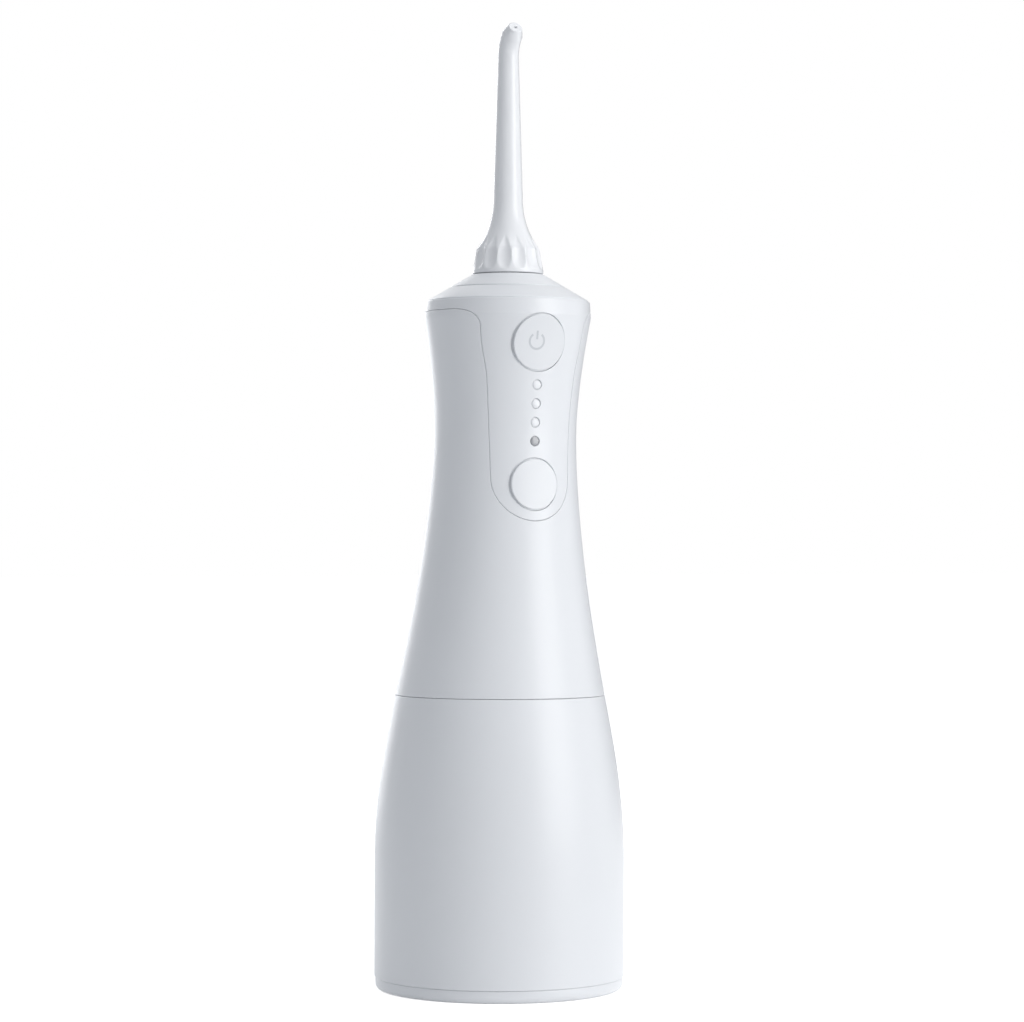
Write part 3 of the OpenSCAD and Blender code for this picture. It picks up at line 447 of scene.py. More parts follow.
def all_round(z_low, z_high):
    """Outline of a sheet that goes once round the body, with a little to cut off."""
    low, high = radians(-95) * UNROLL_R, radians(275) * UNROLL_R
    return [(low, z_low), (high, z_low), (high, z_high), (low, z_high)]


print("a sheet step is", round(UNROLL_R * BEND_STEP, 2), "mm")

# %% [markdown]
# ## Turned pieces, and one way to finish all of them
# Lips, seats, cones and stems are turned on the real tools too. A profile is written with its corner radii,
# the corners are rounded, and spin turns it round the axis. piece() then does what every object needs:
# metres, smooth faces with sharp edges kept, its material, the body it rides on and the node it replaces.

# %% Turning and finishing helpers
AXIS_WELD, ARC_STEPS, ON_SKIN = 0.0005, 4, 0.006


def rounded(corners, closed):
    """A line of corners (a, b, radius): each corner with a radius becomes a small arc."""
    line = []
    for i, (a, b, radius) in enumerate(corners):
        here = Vector((a, b))
        if radius <= 0 or (not closed and i in (0, len(corners) - 1)):
            line.append(tuple(here))
            continue
        before = Vector(corners[i - 1][:2])
        after = Vector(corners[(i + 1) % len(corners)][:2])
        back, on = (before - here).normalized(), (after - here).normalized()
        half = back.angle(on) / 2
        cut = min(radius / tan(half), (before - here).length * 0.49, (after - here).length * 0.49)
        radius = cut * tan(half)
        centre = here + (back + on).normalized() * radius / sin(half)
        first, last = here + back * cut - centre, here + on * cut - centre
        for k in range(ARC_STEPS + 1):
            way = first.slerp(last, k / ARC_STEPS) if first.angle(last) > 1e-4 else first
            line.append(tuple(centre + way.normalized() * radius))
    return line


def turned_piece(corners, closed=False, steps=128, centre_y=0.0, level_at=None):
    """Spins corners (radius, height, corner radius) round an upright axis, or a level one at a height."""
    bm = bmesh.new()
    verts = [bm.verts.new((r, 0, h)) for r, h in rounded(corners, closed)]
    edges = [bm.edges.new(pair) for pair in zip(verts, verts[1:])]
    if closed:
        edges.append(bm.edges.new((verts[-1], verts[0])))
    bmesh.ops.spin(bm, geom=verts + edges, cent=(0, 0, 0), axis=(0, 0, 1), angle=2 * pi,
                   steps=steps, use_merge=True)
    bmesh.ops.remove_doubles(bm, verts=bm.verts, dist=AXIS_WELD)
    bmesh.ops.recalc_face_normals(bm, faces=bm.faces)
    if level_at is not None:
        bmesh.ops.rotate(bm, verts=bm.verts, cent=(0, 0, 0), matrix=Matrix.Rotation(-pi / 2, 3, "X"))
    bmesh.ops.translate(bm, verts=bm.verts, vec=(0, centre_y, level_at or 0))
    return bm


def bent_disc(seen_at, z, r, depth, thickness, edge_r, ring_step=0.6):
    """A round plate with a rounded outer edge, turned flat and then bent to the body's curve."""
    count = ceil((r - edge_r) / ring_step)
    rings = [((r - edge_r - 0.05) * i / count, depth, 0) for i in range(count + 1)]
    bm = turned_piece(rings + [(r, depth, edge_r), (r, depth + thickness, 0), (0, depth + thickness, 0)],
                      steps=96, level_at=0)
    for v in bm.verts:
        v.co = bent(seen_at(v.co.x, z + v.co.z)[0], v.co.y, z + v.co.z)
    bm.normal_update()  # recalc judges by the stored normals, which are stale once the disc is bent
    bmesh.ops.recalc_face_normals(bm, faces=bm.faces)
    return bm


def joined(*parts):
    """Several bmeshes in one."""
    whole = parts[0]
    for part in parts[1:]:
        mesh = bpy.data.meshes.new("part")
        part.to_mesh(mesh)
        whole.from_mesh(mesh)
        bpy.data.meshes.remove(mesh)
        part.free()
    return whole


def skin_normal(place):
    """The body's own normal where a vertex lies on its skin, and nothing elsewhere."""
    x, y, z = place
    y -= lean_y(z)
    r = outline_r(z)
    if abs(hypot(x, y) - r) > ON_SKIN:
        return Vector((0, 0, 0))
    steep = -(outline_r(z + 0.2) - outline_r(z - 0.2)) / 0.4
    way = Vector((x / r, y / r, steep))
    way.z += LEAN_SLOPE * way.y if z > SPLIT_Z else 0.0
    return way.normalized()


def piece(bm, name, body, finish, *nodes, slot=None, sharp=35, normal_at=skin_normal):
    """Makes an object from a bmesh in mm, on its body, with its finish; slot is not used."""
    normals = [normal_at(v.co) for v in bm.verts] if normal_at else []
    bmesh.ops.scale(bm, vec=(MM, MM, MM), verts=bm.verts)
    for face in bm.faces:
        face.smooth = True
    for edge in bm.edges:
        edge.smooth = len(edge.link_faces) == 2 and edge.calc_face_angle(0) < radians(sharp)
    mesh = bpy.data.meshes.new(name)
    bm.to_mesh(mesh)
    open_edges = sum(len(e.link_faces) != 2 for e in bm.edges)
    bm.free()
    if any(n.length for n in normals):
        mesh.normals_split_custom_set_from_vertices(normals)
    made = placed(name, mesh)
    mesh.materials.append(finishes[finish])
    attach(made, body)
    if nodes:
        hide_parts(*nodes)
    print(f"{name}: {len(mesh.polygons)} faces, open edges {open_edges}")
    return made


# %% [markdown]
# ## The water tank
# The tank is the lower part of the bottle. Its wall is a sheet with one round hole for the filling flap.
# The lip that takes the handle's plug and the seat behind the hole are turned rings that sit inside it.

# %% The water tank
FILL_Z, FILL_BED_R, FILL_BED_Y, FILL_BOSS_Y = 48.0, 10.55, 31.5, 29.0
FOOT_TOP, EDGE_R = 3.75, 0.25
tank_top = SPLIT_Z - SHOWN_SEAM
MOUTH_R, LIP_TOP, SEAT_R, SEAT_Y = 27.4, tank_top - 0.03, 11.3, 33.65
fill_hole = on_sheet(at_back, ring_points(0, FILL_Z, FILL_BED_R))
tank_wall = bent_sheet(all_round(FOOT_TOP, tank_top), [fill_hole], 0, WALL, EDGE_R)
lip = turned_piece([
    (MOUTH_R, LIP_TOP, 0.4), (MOUTH_R, 69.5, 0.4), (outline_r(65) - WALL + 0.6, 65, 0),
    (outline_r(75) - 1.0, 75, 0), (outline_r(tank_top) - 1.0, LIP_TOP, 0)], closed=True)
fill_seat = turned_piece([
    (6.6, FILL_BOSS_Y, 0.3), (12.3, FILL_BOSS_Y, 0.5), (12.3, 32.9, 0), (SEAT_R, SEAT_Y, 0),
    (FILL_BED_R + 0.04, SEAT_Y, 0), (FILL_BED_R + 0.04, FILL_BED_Y, 0.2), (6.6, FILL_BED_Y, 0.3)],
    closed=True, steps=72, level_at=FILL_Z)
piece(joined(tank_wall, lip, fill_seat), "tank_body", "tank", "shell_white", "tank_shell")

# %% [markdown]
# ## The foot
# The tank stands on a separate moulded disc with a rounded edge and a shallow recess beneath, so that it
# rests on a ring and doesn't rock. It is one turned profile, because nothing on it breaks the roundness.

# %% The foot of the tank
foot = turned_piece([
    (0, 0.6, 0), (27.6, 0.6, 0.3), (28.2, 0, 0.3), (35.7, 0, 2.0), (35.7, 3.7, 0.25), (33.5, 3.7, 0),
    (33.5, 7, 0.3), (30.9, 7, 0.3), (30.9, 3, 0.6), (0, 3, 0)], steps=160)
piece(foot, "tank_foot", "tank", "shell_white", "tank_base")

# %% [markdown]
# ## The filling flap
# Water goes in through a round hole at the back, closed by a soft flap with a plug. The flap could be a
# piece of the wall cut free, but a disc turned flat and then bent has clean rings of faces up to its
# rounded edge. A small dish for the finger nail is pressed into it.

# %% The filling flap
FLAP_R, FLAP_T = 10.25, 2.2


def nail_dish(bm, z, half_w, half_h, depth):
    """Presses a shallow oval dish into the back of a bent sheet, for a fingernail."""
    for v in bm.verts:
        off = (v.co.x / half_w) ** 2 + ((v.co.z - z) / half_h) ** 2
        on_skin = hypot(v.co.x, v.co.y - lean_y(v.co.z)) > outline_r(v.co.z) - 0.01
        if off < 1 and on_skin:
            v.co.y -= depth * cos(pi / 2 * off) ** 1.5


flap_face = bent_disc(at_back, FILL_Z, FLAP_R, 0, FLAP_T, 0.4, ring_step=0.4)
nail_dish(flap_face, FILL_Z - 7.0, 4.2, 1.9, 0.6)
flap_plug = turned_piece([
    (0, FILL_BOSS_Y + 0.55, 0), (5.6, FILL_BOSS_Y + 0.55, 0.4), (6.0, FILL_BED_Y + 0.3, 0),
    (9.7, FILL_BED_Y + 0.3, 0.3), (9.9, 32.6, 0), (9.3, 33.9, 0), (0, 33.9, 0)], steps=72, level_at=FILL_Z)
finish_of("flap_rubber", (0.74, 0.755, 0.775), gloss=0.48, change=0.06, bump=0.12, depth=0.00006)
piece(joined(flap_face, flap_plug), "filling_flap", "tank_flap", "flap_rubber", "fill_cap")

# %% [markdown]
# ## The handle's shell and its front panel
# The panel is a separate moulding. It lies in a shallow bed of the shell and runs up into the collar,
# so one closed groove goes down the front and round the back. Both mouldings are cut from flat sheets
# along that same line, the shell a seam's width further out.

# %% The line of the groove
PANEL_FOOT_Z, PANEL_FOOT_R, PANEL_TOP_HALF, PANEL_CORNER_R = 146.7, 12.0, 15.9, 5.8
SIDE_POINTS = [(12.0, 146.7), (12.25, 156.0), (12.75, 166.0), (13.65, 176.0), (15.2, 184.0), (15.9, 188.775)]


def through(points):
    """A smooth line through a few points (Catmull-Rom)."""
    ends = [points[0]] + points + [points[-1]]
    line = []
    for p0, p1, p2, p3 in zip(ends, ends[1:], ends[2:], ends[3:]):
        for t in (i / 8 for i in range(8)):
            line.append(tuple(0.5 * (2 * b + (c - a) * t + (2 * a - 5 * b + 4 * c - d) * t * t
                                     + (3 * b - a - 3 * c + d) * t ** 3)
                              for a, b, c, d in zip(p0, p1, p2, p3)))
    return line + [points[-1]]


def groove_line(grow):
    """The panel's outline from its right top corner round the foot to its left top corner."""
    corner_x, corner_z = PANEL_TOP_HALF + PANEL_CORNER_R, COLLAR_Z + HALF_SEAM - PANEL_CORNER_R
    r = PANEL_CORNER_R - grow
    corner = [(corner_x - r * sin(a), corner_z + r * cos(a)) for a in quarter(12)]
    side = [(x + grow, z) for x, z in reversed(through(SIDE_POINTS))]
    foot_r = PANEL_FOOT_R + grow
    half_foot = [(foot_r * cos(a), PANEL_FOOT_Z - foot_r * sin(a)) for a in quarter(20, 1)]
    right = corner + side[1:] + half_foot
    return right + [(-x, z) for x, z in reversed(right[:-1])]


POWER_Z, POWER_R, MODE_Z, MODE_R, KEY_GAP = 185.0, 7.85, 145.0, 7.1, 0.38
LIGHT_Z = [157.2 + 5.3 * i for i in range(4)]
LIGHT_HOLE_R, LIGHT_RIM_R, LIGHT_R = 1.42, 1.37, 1.16
panel_holes = [on_sheet(at_front, ring_points(0, z, r + KEY_GAP, 96))
               for z, r in ((POWER_Z, POWER_R), (MODE_Z, MODE_R))]
panel_holes += [on_sheet(at_front, ring_points(0, z, LIGHT_HOLE_R, 32)) for z in LIGHT_Z]
print("the groove has", len(groove_line(0)), "points")

# %% [markdown]
# ## The handle's shell
# The shell is one bent sheet with three openings: the bed of the front panel, the release key and the
# charging inlet. Each opening is cut while the sheet is flat, so that its edge gets the same small radius.

# %% The handle's shell
RELEASE_Z, RELEASE_HOLE_R, CHARGE_Z = 183.0, 5.35, 100.7
GROOVE, BED_DEPTH, FLOOR_DEPTH = 0.07, 1.55, 1.25


def rounded_plate(half_w, half_h, r):
    """Outline of the charging inlet's plates with their round corners, laid on the flat sheet."""
    corners = ((1, 1, 0), (-1, 1, pi / 2), (-1, -1, pi), (1, -1, 1.5 * pi))
    return on_sheet(at_back, [
        (sx * (half_w - r) + r * cos(a + turned), CHARGE_Z + sz * (half_h - r) + r * sin(a + turned))
        for sx, sz, turned in corners for a in quarter(8)])


around = all_round(SPLIT_Z + SHOWN_SEAM, COLLAR_Z + HALF_SEAM - GROOVE)
grip_outline = around[:3] + on_sheet(at_front, groove_line(GROOVE)) + around[3:]
release_hole = on_sheet(at_back, ring_points(0, RELEASE_Z, RELEASE_HOLE_R))
grip_skin = bent_sheet(grip_outline, [release_hole, rounded_plate(7.3, 4.9, 2.3)], 0, WALL, EDGE_R)
bed_outline = on_sheet(at_front, groove_line(0.6)[3:-3])
bed = bent_sheet(bed_outline, panel_holes, BED_DEPTH, WALL - BED_DEPTH, 0.05, steps=1)
inlet_floor = bent_sheet(rounded_plate(7.8, 5.4, 2.6), [rounded_plate(5, 2.3, 1)], FLOOR_DEPTH,
                         WALL - FLOOR_DEPTH, 0.1, steps=1)
piece(joined(grip_skin, bed, inlet_floor), "grip_body", "handle", "shell_white", "grip_shell")

# %% [markdown]
# ## The front panel
# The panel lies flush in its bed, with the fine groove round it that the photograph shows. Its collar runs
# round the whole neck. Panel and collar are one moulding, so they are joined into one piece.

# %% The front panel with its collar
PANEL_DEPTH = 1.4
collar_low = COLLAR_Z + HALF_SEAM
around = all_round(collar_low, RIM_Z)
panel_outline = around[:1] + on_sheet(at_front, reversed(groove_line(0))) + around[1:]
panel = bent_sheet(panel_outline, panel_holes, 0, PANEL_DEPTH, EDGE_R)
collar_ring = turned_piece([
    (outline_r(RIM_Z) - WALL, RIM_Z - 0.05, 0), (outline_r(RIM_Z) - 1.0, RIM_Z - 0.05, 0),
    (outline_r(collar_low) - 1.0, collar_low + 0.05, 0), (outline_r(collar_low) - WALL, collar_low + 0.05, 0)],
    closed=True)
for v in collar_ring.verts:
    v.co.y += lean_y(v.co.z)
piece(joined(panel, collar_ring), "front_panel", "handle", "panel_white", "front_fascia")

# %% [markdown]
# ## The keys
# A key's face is part of the body's curve. It is turned flat, as the filling flap is, and bent with the
# body, which keeps its edge even all the way round. A shoulder closes the gap beside it. Behind them come
# a flange, which keeps the key in its hole, and a stem that reaches the switch.

# %% The two front keys
FLANGE_OVER, FLANGE_T = 0.9, 1.2
KEY_PROUD, KEY_FLAT, SHOULDER_DEPTH = 0.08, 0.75, 0.4


def key_lift(x, r):
    """How far a key's face stands out at x, which makes it flatter than the body."""
    return KEY_PROUD + KEY_FLAT * (x / r) ** 2


def front_key(name, body, z, r, node):
    face = bent_disc(at_front, z, r, 0, 2.4, 0.45)
    for v in face.verts:
        v.co.y -= key_lift(v.co.x, r)

    def key_normal(place):
        x, y, height = place
        flat = skin_normal((x, y + key_lift(x, r), height))
        if flat.length:
            flat = Vector((flat.x / -flat.y - 2 * KEY_FLAT * x / r ** 2, -1, flat.z / -flat.y)).normalized()
        return flat

    shoulder = bent_disc(at_front, z, r + KEY_GAP - 0.07, SHOULDER_DEPTH, 0.5, 0.08, ring_step=4)
    inner = [lean_y(h) - sqrt((outline_r(h) - WALL) ** 2 - (r + FLANGE_OVER) ** 2)
             for h in (z - r, z, z + r)]
    flange_y = 0.3 + max(inner)
    flange_back = flange_y + FLANGE_T
    stem_end = max(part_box(node)[1].y / MM, flange_back + 0.1)
    stem = turned_piece([
        (0, flange_y - 2.6, 0), (r - 0.3, flange_y - 2.6, 0), (r - 0.3, flange_y, 0),
        (r + FLANGE_OVER, flange_y, 0.3), (r + FLANGE_OVER, flange_back, 0.3),
        (2.5, flange_back, 0.3), (2.5, stem_end, 0.2), (0, stem_end, 0)], steps=72, level_at=z)
    return piece(joined(face, shoulder, stem), name, body, "button_white", node, normal_at=key_normal)


power_key = front_key("power_key_cap", "power_key", POWER_Z, POWER_R, "power_button")
front_key("mode_key_cap", "mode_key", MODE_Z, MODE_R, "mode_button")

# %% [markdown]
# ## The power sign
# The sign is printed on the key: a ring open at the top with a bar in the opening. An image could carry
# it, but thin solid ink laid on the key's surface stays sharp at any size and needs no picture.

# %% The power sign
SIGN_R, SIGN_LINE, SIGN_OPENING = 2.2, 0.6, 36
key_tree = BVHTree.FromPolygons([v.co.copy() for v in power_key.data.vertices],
                                [list(p.vertices) for p in power_key.data.polygons])
sign_place = place_on(key_tree, *PHOTO["power_sign"]) / MM
sign_x, sign_z = sign_place.x, sign_place.z
arc = [radians(90 + SIGN_OPENING + (360 - 2 * SIGN_OPENING) * i / 40) for i in range(41)]
arc_outline = [(sign_x + r * cos(a), sign_z + r * sin(a))
               for r, way in ((SIGN_R + SIGN_LINE / 2, 1), (SIGN_R - SIGN_LINE / 2, -1)) for a in arc[::way]]
bar_outline = [(sign_x + x, sign_z + z) for x, z in
               ((-SIGN_LINE / 2, 0.5), (SIGN_LINE / 2, 0.5), (SIGN_LINE / 2, 2.9), (-SIGN_LINE / 2, 2.9))]
sign = joined(*(bent_sheet(on_sheet(at_front, line), [], -0.015, 0.1, 0.01, steps=1)
                for line in (arc_outline, bar_outline)))
for v in sign.verts:
    v.co.y -= key_lift(v.co.x, POWER_R)
finish_of("sign_grey", (0.60, 0.62, 0.65), gloss=0.4, change=0.08, bump=0.05)
piece(sign, "power_sign", "power_key", "sign_grey", slot="button_white", normal_at=None)
print("the power sign lies at", round(sign_x, 2), round(sign_z, 2))

# %% [markdown]
# ## The light windows
# Four small windows between the keys show the chosen pressure and the charge, each in a hole of the
# panel. They are turned plugs, and each one's face is set at the depth of the panel's skin there. The
# lowest is grey, as in the photograph, so it is a piece of its own with its own finish.

# %% The light windows
window_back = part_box("light_pipes")[1].y / MM
finish_of("window_clear", (0.76, 0.775, 0.80), gloss=0.3, bump=0.01, Coat_Weight=0.4)
finish_of("window_grey", (0.36, 0.37, 0.39), gloss=0.15, bump=0.01, Coat_Weight=0.4)
windows = []
for z in LIGHT_Z:
    front = lean_y(z) - outline_r(z)
    windows.append(turned_piece([
        (0, front + 0.04, 0), (LIGHT_R, front + 0.1, 0.2), (LIGHT_R, front + 0.3, 0),
        (LIGHT_RIM_R, front + 0.34, 0), (LIGHT_RIM_R, front + 1.0, 0), (LIGHT_R, front + 1.1, 0),
        (LIGHT_R, window_back, 0.1), (0, window_back, 0)], steps=32, level_at=z))
lowest = windows.pop(0)
piece(joined(*windows), "light_windows", "handle", "window_clear", "light_pipes", slot="pipe",
      normal_at=None)
piece(lowest, "battery_window", "handle", "window_grey", slot="pipe", normal_at=None)

# %% [markdown]
# ## The top: fixed cone, turning dial
# Both rings are turned shapes about the nozzle's axis. A lathe profile with small arcs at its corners
# gives the thin bright lines that a sharp profile would lose.

# %% The cone and the dial
DIAL_R, DIAL_TOP_R, CONE_LOW_R, CONE_SLOPE = 16.4, 10.4, 23.1, 0.589


def cone_z(r):
    """Height of the cone's slope at radius r."""
    return RIM_Z + 0.4 + (CONE_LOW_R - r) * CONE_SLOPE


cone = turned_piece([
    (7.9, 196.5, 0), (19.05, 196.5, 0.3), (19.05, 193.9, 0.2), (20.65, 193.9, 0.2), (20.65, RIM_Z, 0),
    (CONE_LOW_R, RIM_Z, 0.12), (CONE_LOW_R, RIM_Z + 0.4, 0.35), (DIAL_R + 0.3, cone_z(DIAL_R + 0.3), 0.25),
    (DIAL_R + 0.3, 198.5, 0.2), (7.9, 198.5, 0.2)], closed=True, steps=160, centre_y=-LEAN)
piece(cone, "top_cone", "handle", "shell_white", "top_cap", normal_at=None)
dial = turned_piece([
    (4.6, 184.3, 0.2), (6.25, 184.3, 0.2), (6.25, 189.4, 0.05), (5.2, 189.4, 0.05), (5.2, 190.6, 0.05),
    (6.25, 190.6, 0.05), (6.25, 198.8, 0.2), (DIAL_R, 198.8, 0.2), (DIAL_R, cone_z(DIAL_R), 0.25),
    (DIAL_TOP_R, cone_z(DIAL_TOP_R), 0.4), (4.6, cone_z(DIAL_TOP_R), 0.2)],
    closed=True, steps=160, centre_y=-LEAN)
piece(dial, "turning_dial", "dial", "shell_white", "nozzle_dial", normal_at=None)

# %% [markdown]
# ## The nozzle
# The nozzle is turned straight first, bell, flutes, neck and tip. Its fourteen finger flutes are then
# pressed in by moving the vertices, and last of all the straight tip is bent forward.

# %% The nozzle
BELL_Z, BELL_R, BELL_TAPER = cone_z(DIAL_TOP_R) + 0.25, 10.2, 1.15
NECK_UP, NECK_R, TUBE_UP, TUBE_TAPER = 7.15, 4.2, 23.25, 1.2
BEND_Z, BEND_R, BEND_ANGLE, TIP_LEN = 268.2, 8.0, radians(50), 2.8
FLUTES, FLUTE_LOW, FLUTE_HIGH, FLUTE_DEPTH, FLUTE_TURN = 14, BELL_Z + 1.2, BELL_Z + 10.2, 0.7, 0.677
AXIS_Y = -LEAN
straight_end = BEND_Z + BEND_R * BEND_ANGLE + TIP_LEN
neck = [(NECK_R + 4.85 * (1 - t) ** 2.4, BELL_Z + NECK_UP + 16.1 * t, 0) for t in (i / 28 for i in range(29))]
neck += [(NECK_R - TUBE_TAPER * share(z, BELL_Z + TUBE_UP, BEND_Z), z, 0)
         for z in (234, 240, 246, 252, 258, 263, BEND_Z)]
tip = [(3.0, BEND_Z + BEND_R * BEND_ANGLE * i / 12, 0) for i in range(1, 13)]
bell = [(BELL_R - BELL_TAPER * share(z, BELL_Z + 1, BELL_Z + NECK_UP), z, 0)
        for z in (BELL_Z + 1.6 + 0.5 * i for i in range(11))]
nozzle = turned_piece(
    [(1.2, 187.5, 0.2), (4.3, 187.5, 0.5), (4.3, 189.98, 0.05), (3.45, 189.98, 0.05), (3.45, 191.22, 0.05),
     (4.3, 191.22, 0.05), (4.3, BELL_Z, 0.05), (BELL_R, BELL_Z, 0.3), (BELL_R, BELL_Z + 1, 0.5)]
    + bell + neck + tip
    + [(2.0, straight_end, 0.35), (0.5, straight_end, 0.12), (0.5, BEND_Z + 2, 0), (1.2, BEND_Z, 0)],
    closed=True, steps=FLUTES * 16, centre_y=AXIS_Y)


def press_flute(place):
    """Moves a vertex of the bell towards the axis, deepest in the middle of each leaf."""
    x, y = place.x, place.y - AXIS_Y
    r = hypot(x, y)
    if FLUTE_LOW < place.z < FLUTE_HIGH and r > 4:
        leaf = sin(pi * share(place.z, FLUTE_LOW, FLUTE_HIGH) ** 0.7) ** 0.6
        off = abs((atan2(x, -y) * FLUTES / (2 * pi) + FLUTE_TURN) % 1 - 0.5) * 2
        deep = FLUTE_DEPTH * leaf * max(0, 1 - (off / (0.1 + 0.88 * leaf)) ** 2)
        place.x, place.y = x * (r - deep) / r, y * (r - deep) / r + AXIS_Y


def bend_tip(place):
    """Bends what stands above the bend forward, as a pipe is bent over a former."""
    if place.z > BEND_Z:
        angle = min((place.z - BEND_Z) / BEND_R, BEND_ANGLE)
        beyond = max(0, place.z - BEND_Z - BEND_R * BEND_ANGLE)
        reach = BEND_R + place.y - AXIS_Y
        place.y = AXIS_Y - BEND_R + reach * cos(angle) - beyond * sin(angle)
        place.z = BEND_Z + reach * sin(angle) + beyond * cos(angle)


for v in nozzle.verts:
    press_flute(v.co)
    bend_tip(v.co)
piece(nozzle, "jet_nozzle", "nozzle", "nozzle_white", "nozzle_body", sharp=50, normal_at=None)

# %% [markdown]
# ## The release key
# The release key at the back stands a little proud, so that a thumb finds it. Its cap is turned, and the
# tongue that reaches forward to the dial's stem is a small block with rounded edges.

# %% The release key
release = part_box("release_button")
release_face = release[1].y / MM
release_key = turned_piece([
    (0, 13.0, 0), (6.0, 13.0, 0.3), (6.0, 14.2, 0.2), (5.0, 14.2, 0), (5.0, release_face, 0.6),
    (3.6, release_face - 0.05, 0.5), (0, release_face - 0.35, 0)], steps=96, level_at=RELEASE_Z)
tongue = bmesh.new()
bmesh.ops.create_cube(tongue, size=1)
tongue_low, tongue_high = Vector((-2, release[0].y / MM, 185)), Vector((2, 13.4, 187))
bmesh.ops.scale(tongue, verts=tongue.verts, vec=tongue_high - tongue_low)
bmesh.ops.translate(tongue, verts=tongue.verts, vec=(tongue_low + tongue_high) / 2)
bmesh.ops.bevel(tongue, geom=tongue.edges[:], offset=0.2, segments=2, profile=0.5, affect="EDGES",
                material=-1)
piece(joined(release_key, tongue), "release_key_cap", "release_key", "button_white",
      "release_button", normal_at=None)

# %% [markdown]
# ## The charging flap
# A small soft plate with rounded corners covers the inlet low on the back. It is a sheet cut flat and bent
# to the body's curve, as the shell is, with a plug behind it and a dish for the finger nail.

# %% The charging flap
cover = bend_round(flat_sheet(rounded_plate(7, 4.6, 2), [], 0, 1.2, 0.3), finer=8)
nail_dish(cover, CHARGE_Z - 2.9, 2.8, 1.1, 0.45)
cover_plug = bent_sheet(rounded_plate(4.2, 1.4, 0.8), [], 1.0, 1.5, 0.1, steps=1)
piece(joined(cover, cover_plug), "charging_flap", "inlet_flap", "flap_rubber", "charge_cover")

# %% [markdown]
# ## The inside
# The pump drive, the cell and the board are seen only when the housing is open, and their solids have the
# right shapes already. They keep the frame's own meshes and get finishes: turned steel, brass, rubber.

# %% Finishes for the inside
METAL = {"gloss": 0.285, "change": 0.12, "group": turned_metal, "Metallic": 1.0}
for name, color, look in (
        ("inner_plastic", (0.62, 0.64, 0.66), {"gloss": 0.5, "bump": 0.1}),
        ("frame_plastic", (0.32, 0.33, 0.35), {"gloss": 0.52, "bump": 0.12}),
        ("seal_rubber", (0.05, 0.05, 0.055), {"gloss": 0.6, "bump": 0.1}),
        ("clear_plastic", (0.80, 0.84, 0.88), {"gloss": 0.1, "bump": 0.02, "Transmission_Weight": 0.7}),
        ("steel", (0.62, 0.63, 0.65), METAL),
        ("brass", (0.78, 0.60, 0.30), METAL),
        ("cell_wrap", (0.06, 0.28, 0.17),
         {"gloss": 0.28, "change": 0.1, "bump": 0.15, "numbers": {"Grain": 260.0, "Tone": 0.08}}),
        ("board", (0.03, 0.22, 0.10), {"gloss": 0.28, "change": 0.1, "group": printed_board, "bump": 0.2})):
    finish_of(name, color, **look)
nodes_by_finish = {
    "inner_plastic": ("handle_base", "motor_end_cap", "pump_head", "nozzle_socket", "crank_gear", "piston_rod"),
    "frame_plastic": ("inlet_filter", "inner_frame"),
    "seal_rubber": ("tank_base_seal", "tank_seal", "pump_valves", "tact_switches", "dial_seal", "nozzle_seal",
                    "piston_seal"),
    "clear_plastic": ("dip_tube", "pump_cylinder", "inlet_hose", "pressure_hose"),
    "steel": ("frame_screws", "motor_can", "gear_axle", "battery_contacts", "charge_socket", "motor_shaft",
              "crank_pin"),
    "brass": ("motor_terminals", "drive_pinion"),
    "cell_wrap": ("battery_cell",), "board": ("circuit_board",), "window_clear": ("board_leds",),
}
for finish, nodes in nodes_by_finish.items():
    for node in nodes:
        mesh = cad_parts[node].data
        mesh.materials.clear()
        mesh.materials.append(finishes[finish])
print("finished", sum(len(nodes) for nodes in nodes_by_finish.values()), "inner nodes")

# %% [markdown]
# ## The release key's spring
# Steel wire is wound into a coil that pushes the release key back out. It could stay the frame's own solid.
# Here a ring the size of the wire is spun round the coil's axis and moved along it at each step, which winds
# the same spring.

# %% The release spring
spring_low, spring_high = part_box("release_spring")
WIRE_R, WIRE_SIDES, TURNS, TURN_STEPS, KEY_TRAVEL = 0.35, 12, 5, 32, 1.5
coil_length = (spring_high.y - spring_low.y) / MM
coil_r = (spring_high.x - spring_low.x) / MM / 2 - WIRE_R
coil_z = (spring_low.z + spring_high.z) / MM / 2
wire = bmesh.new()
ring = bmesh.ops.create_circle(wire, segments=WIRE_SIDES, radius=WIRE_R)["verts"]
bmesh.ops.translate(wire, verts=ring, vec=(coil_r, spring_low.y / MM + WIRE_R, 0))
pitch = (coil_length - 2 * WIRE_R) / TURNS
bmesh.ops.spin(wire, geom=wire.verts[:] + wire.edges[:], cent=(0, 0, 0), axis=(0, 1, 0),
               dvec=(0, pitch / TURN_STEPS, 0), angle=2 * pi * TURNS, steps=TURNS * TURN_STEPS)
bmesh.ops.holes_fill(wire, edges=[e for e in wire.edges if e.is_boundary], sides=WIRE_SIDES)
bmesh.ops.recalc_face_normals(wire, faces=wire.faces)
bmesh.ops.translate(wire, verts=wire.verts, vec=(0, 0, coil_z))
coil = piece(wire, "release_coil", "handle", "steel", "release_spring", normal_at=None)
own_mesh(coil)
print(f"spring: {coil_length:.2f} mm long, turns of radius {coil_r:.2f} mm")

# %% [markdown]
# ## Light and background
# The photograph is lit softly from the right, on white. The lamps stay at a plain level, so that the
# white of the plastic renders about as it is written. The white behind it comes from the world and the
# floor as the camera and the reflections see them, and not from more light.

# %% The floor and the world
FLOOR_HALF, FLOOR_GLOW = 8.0, 0.72


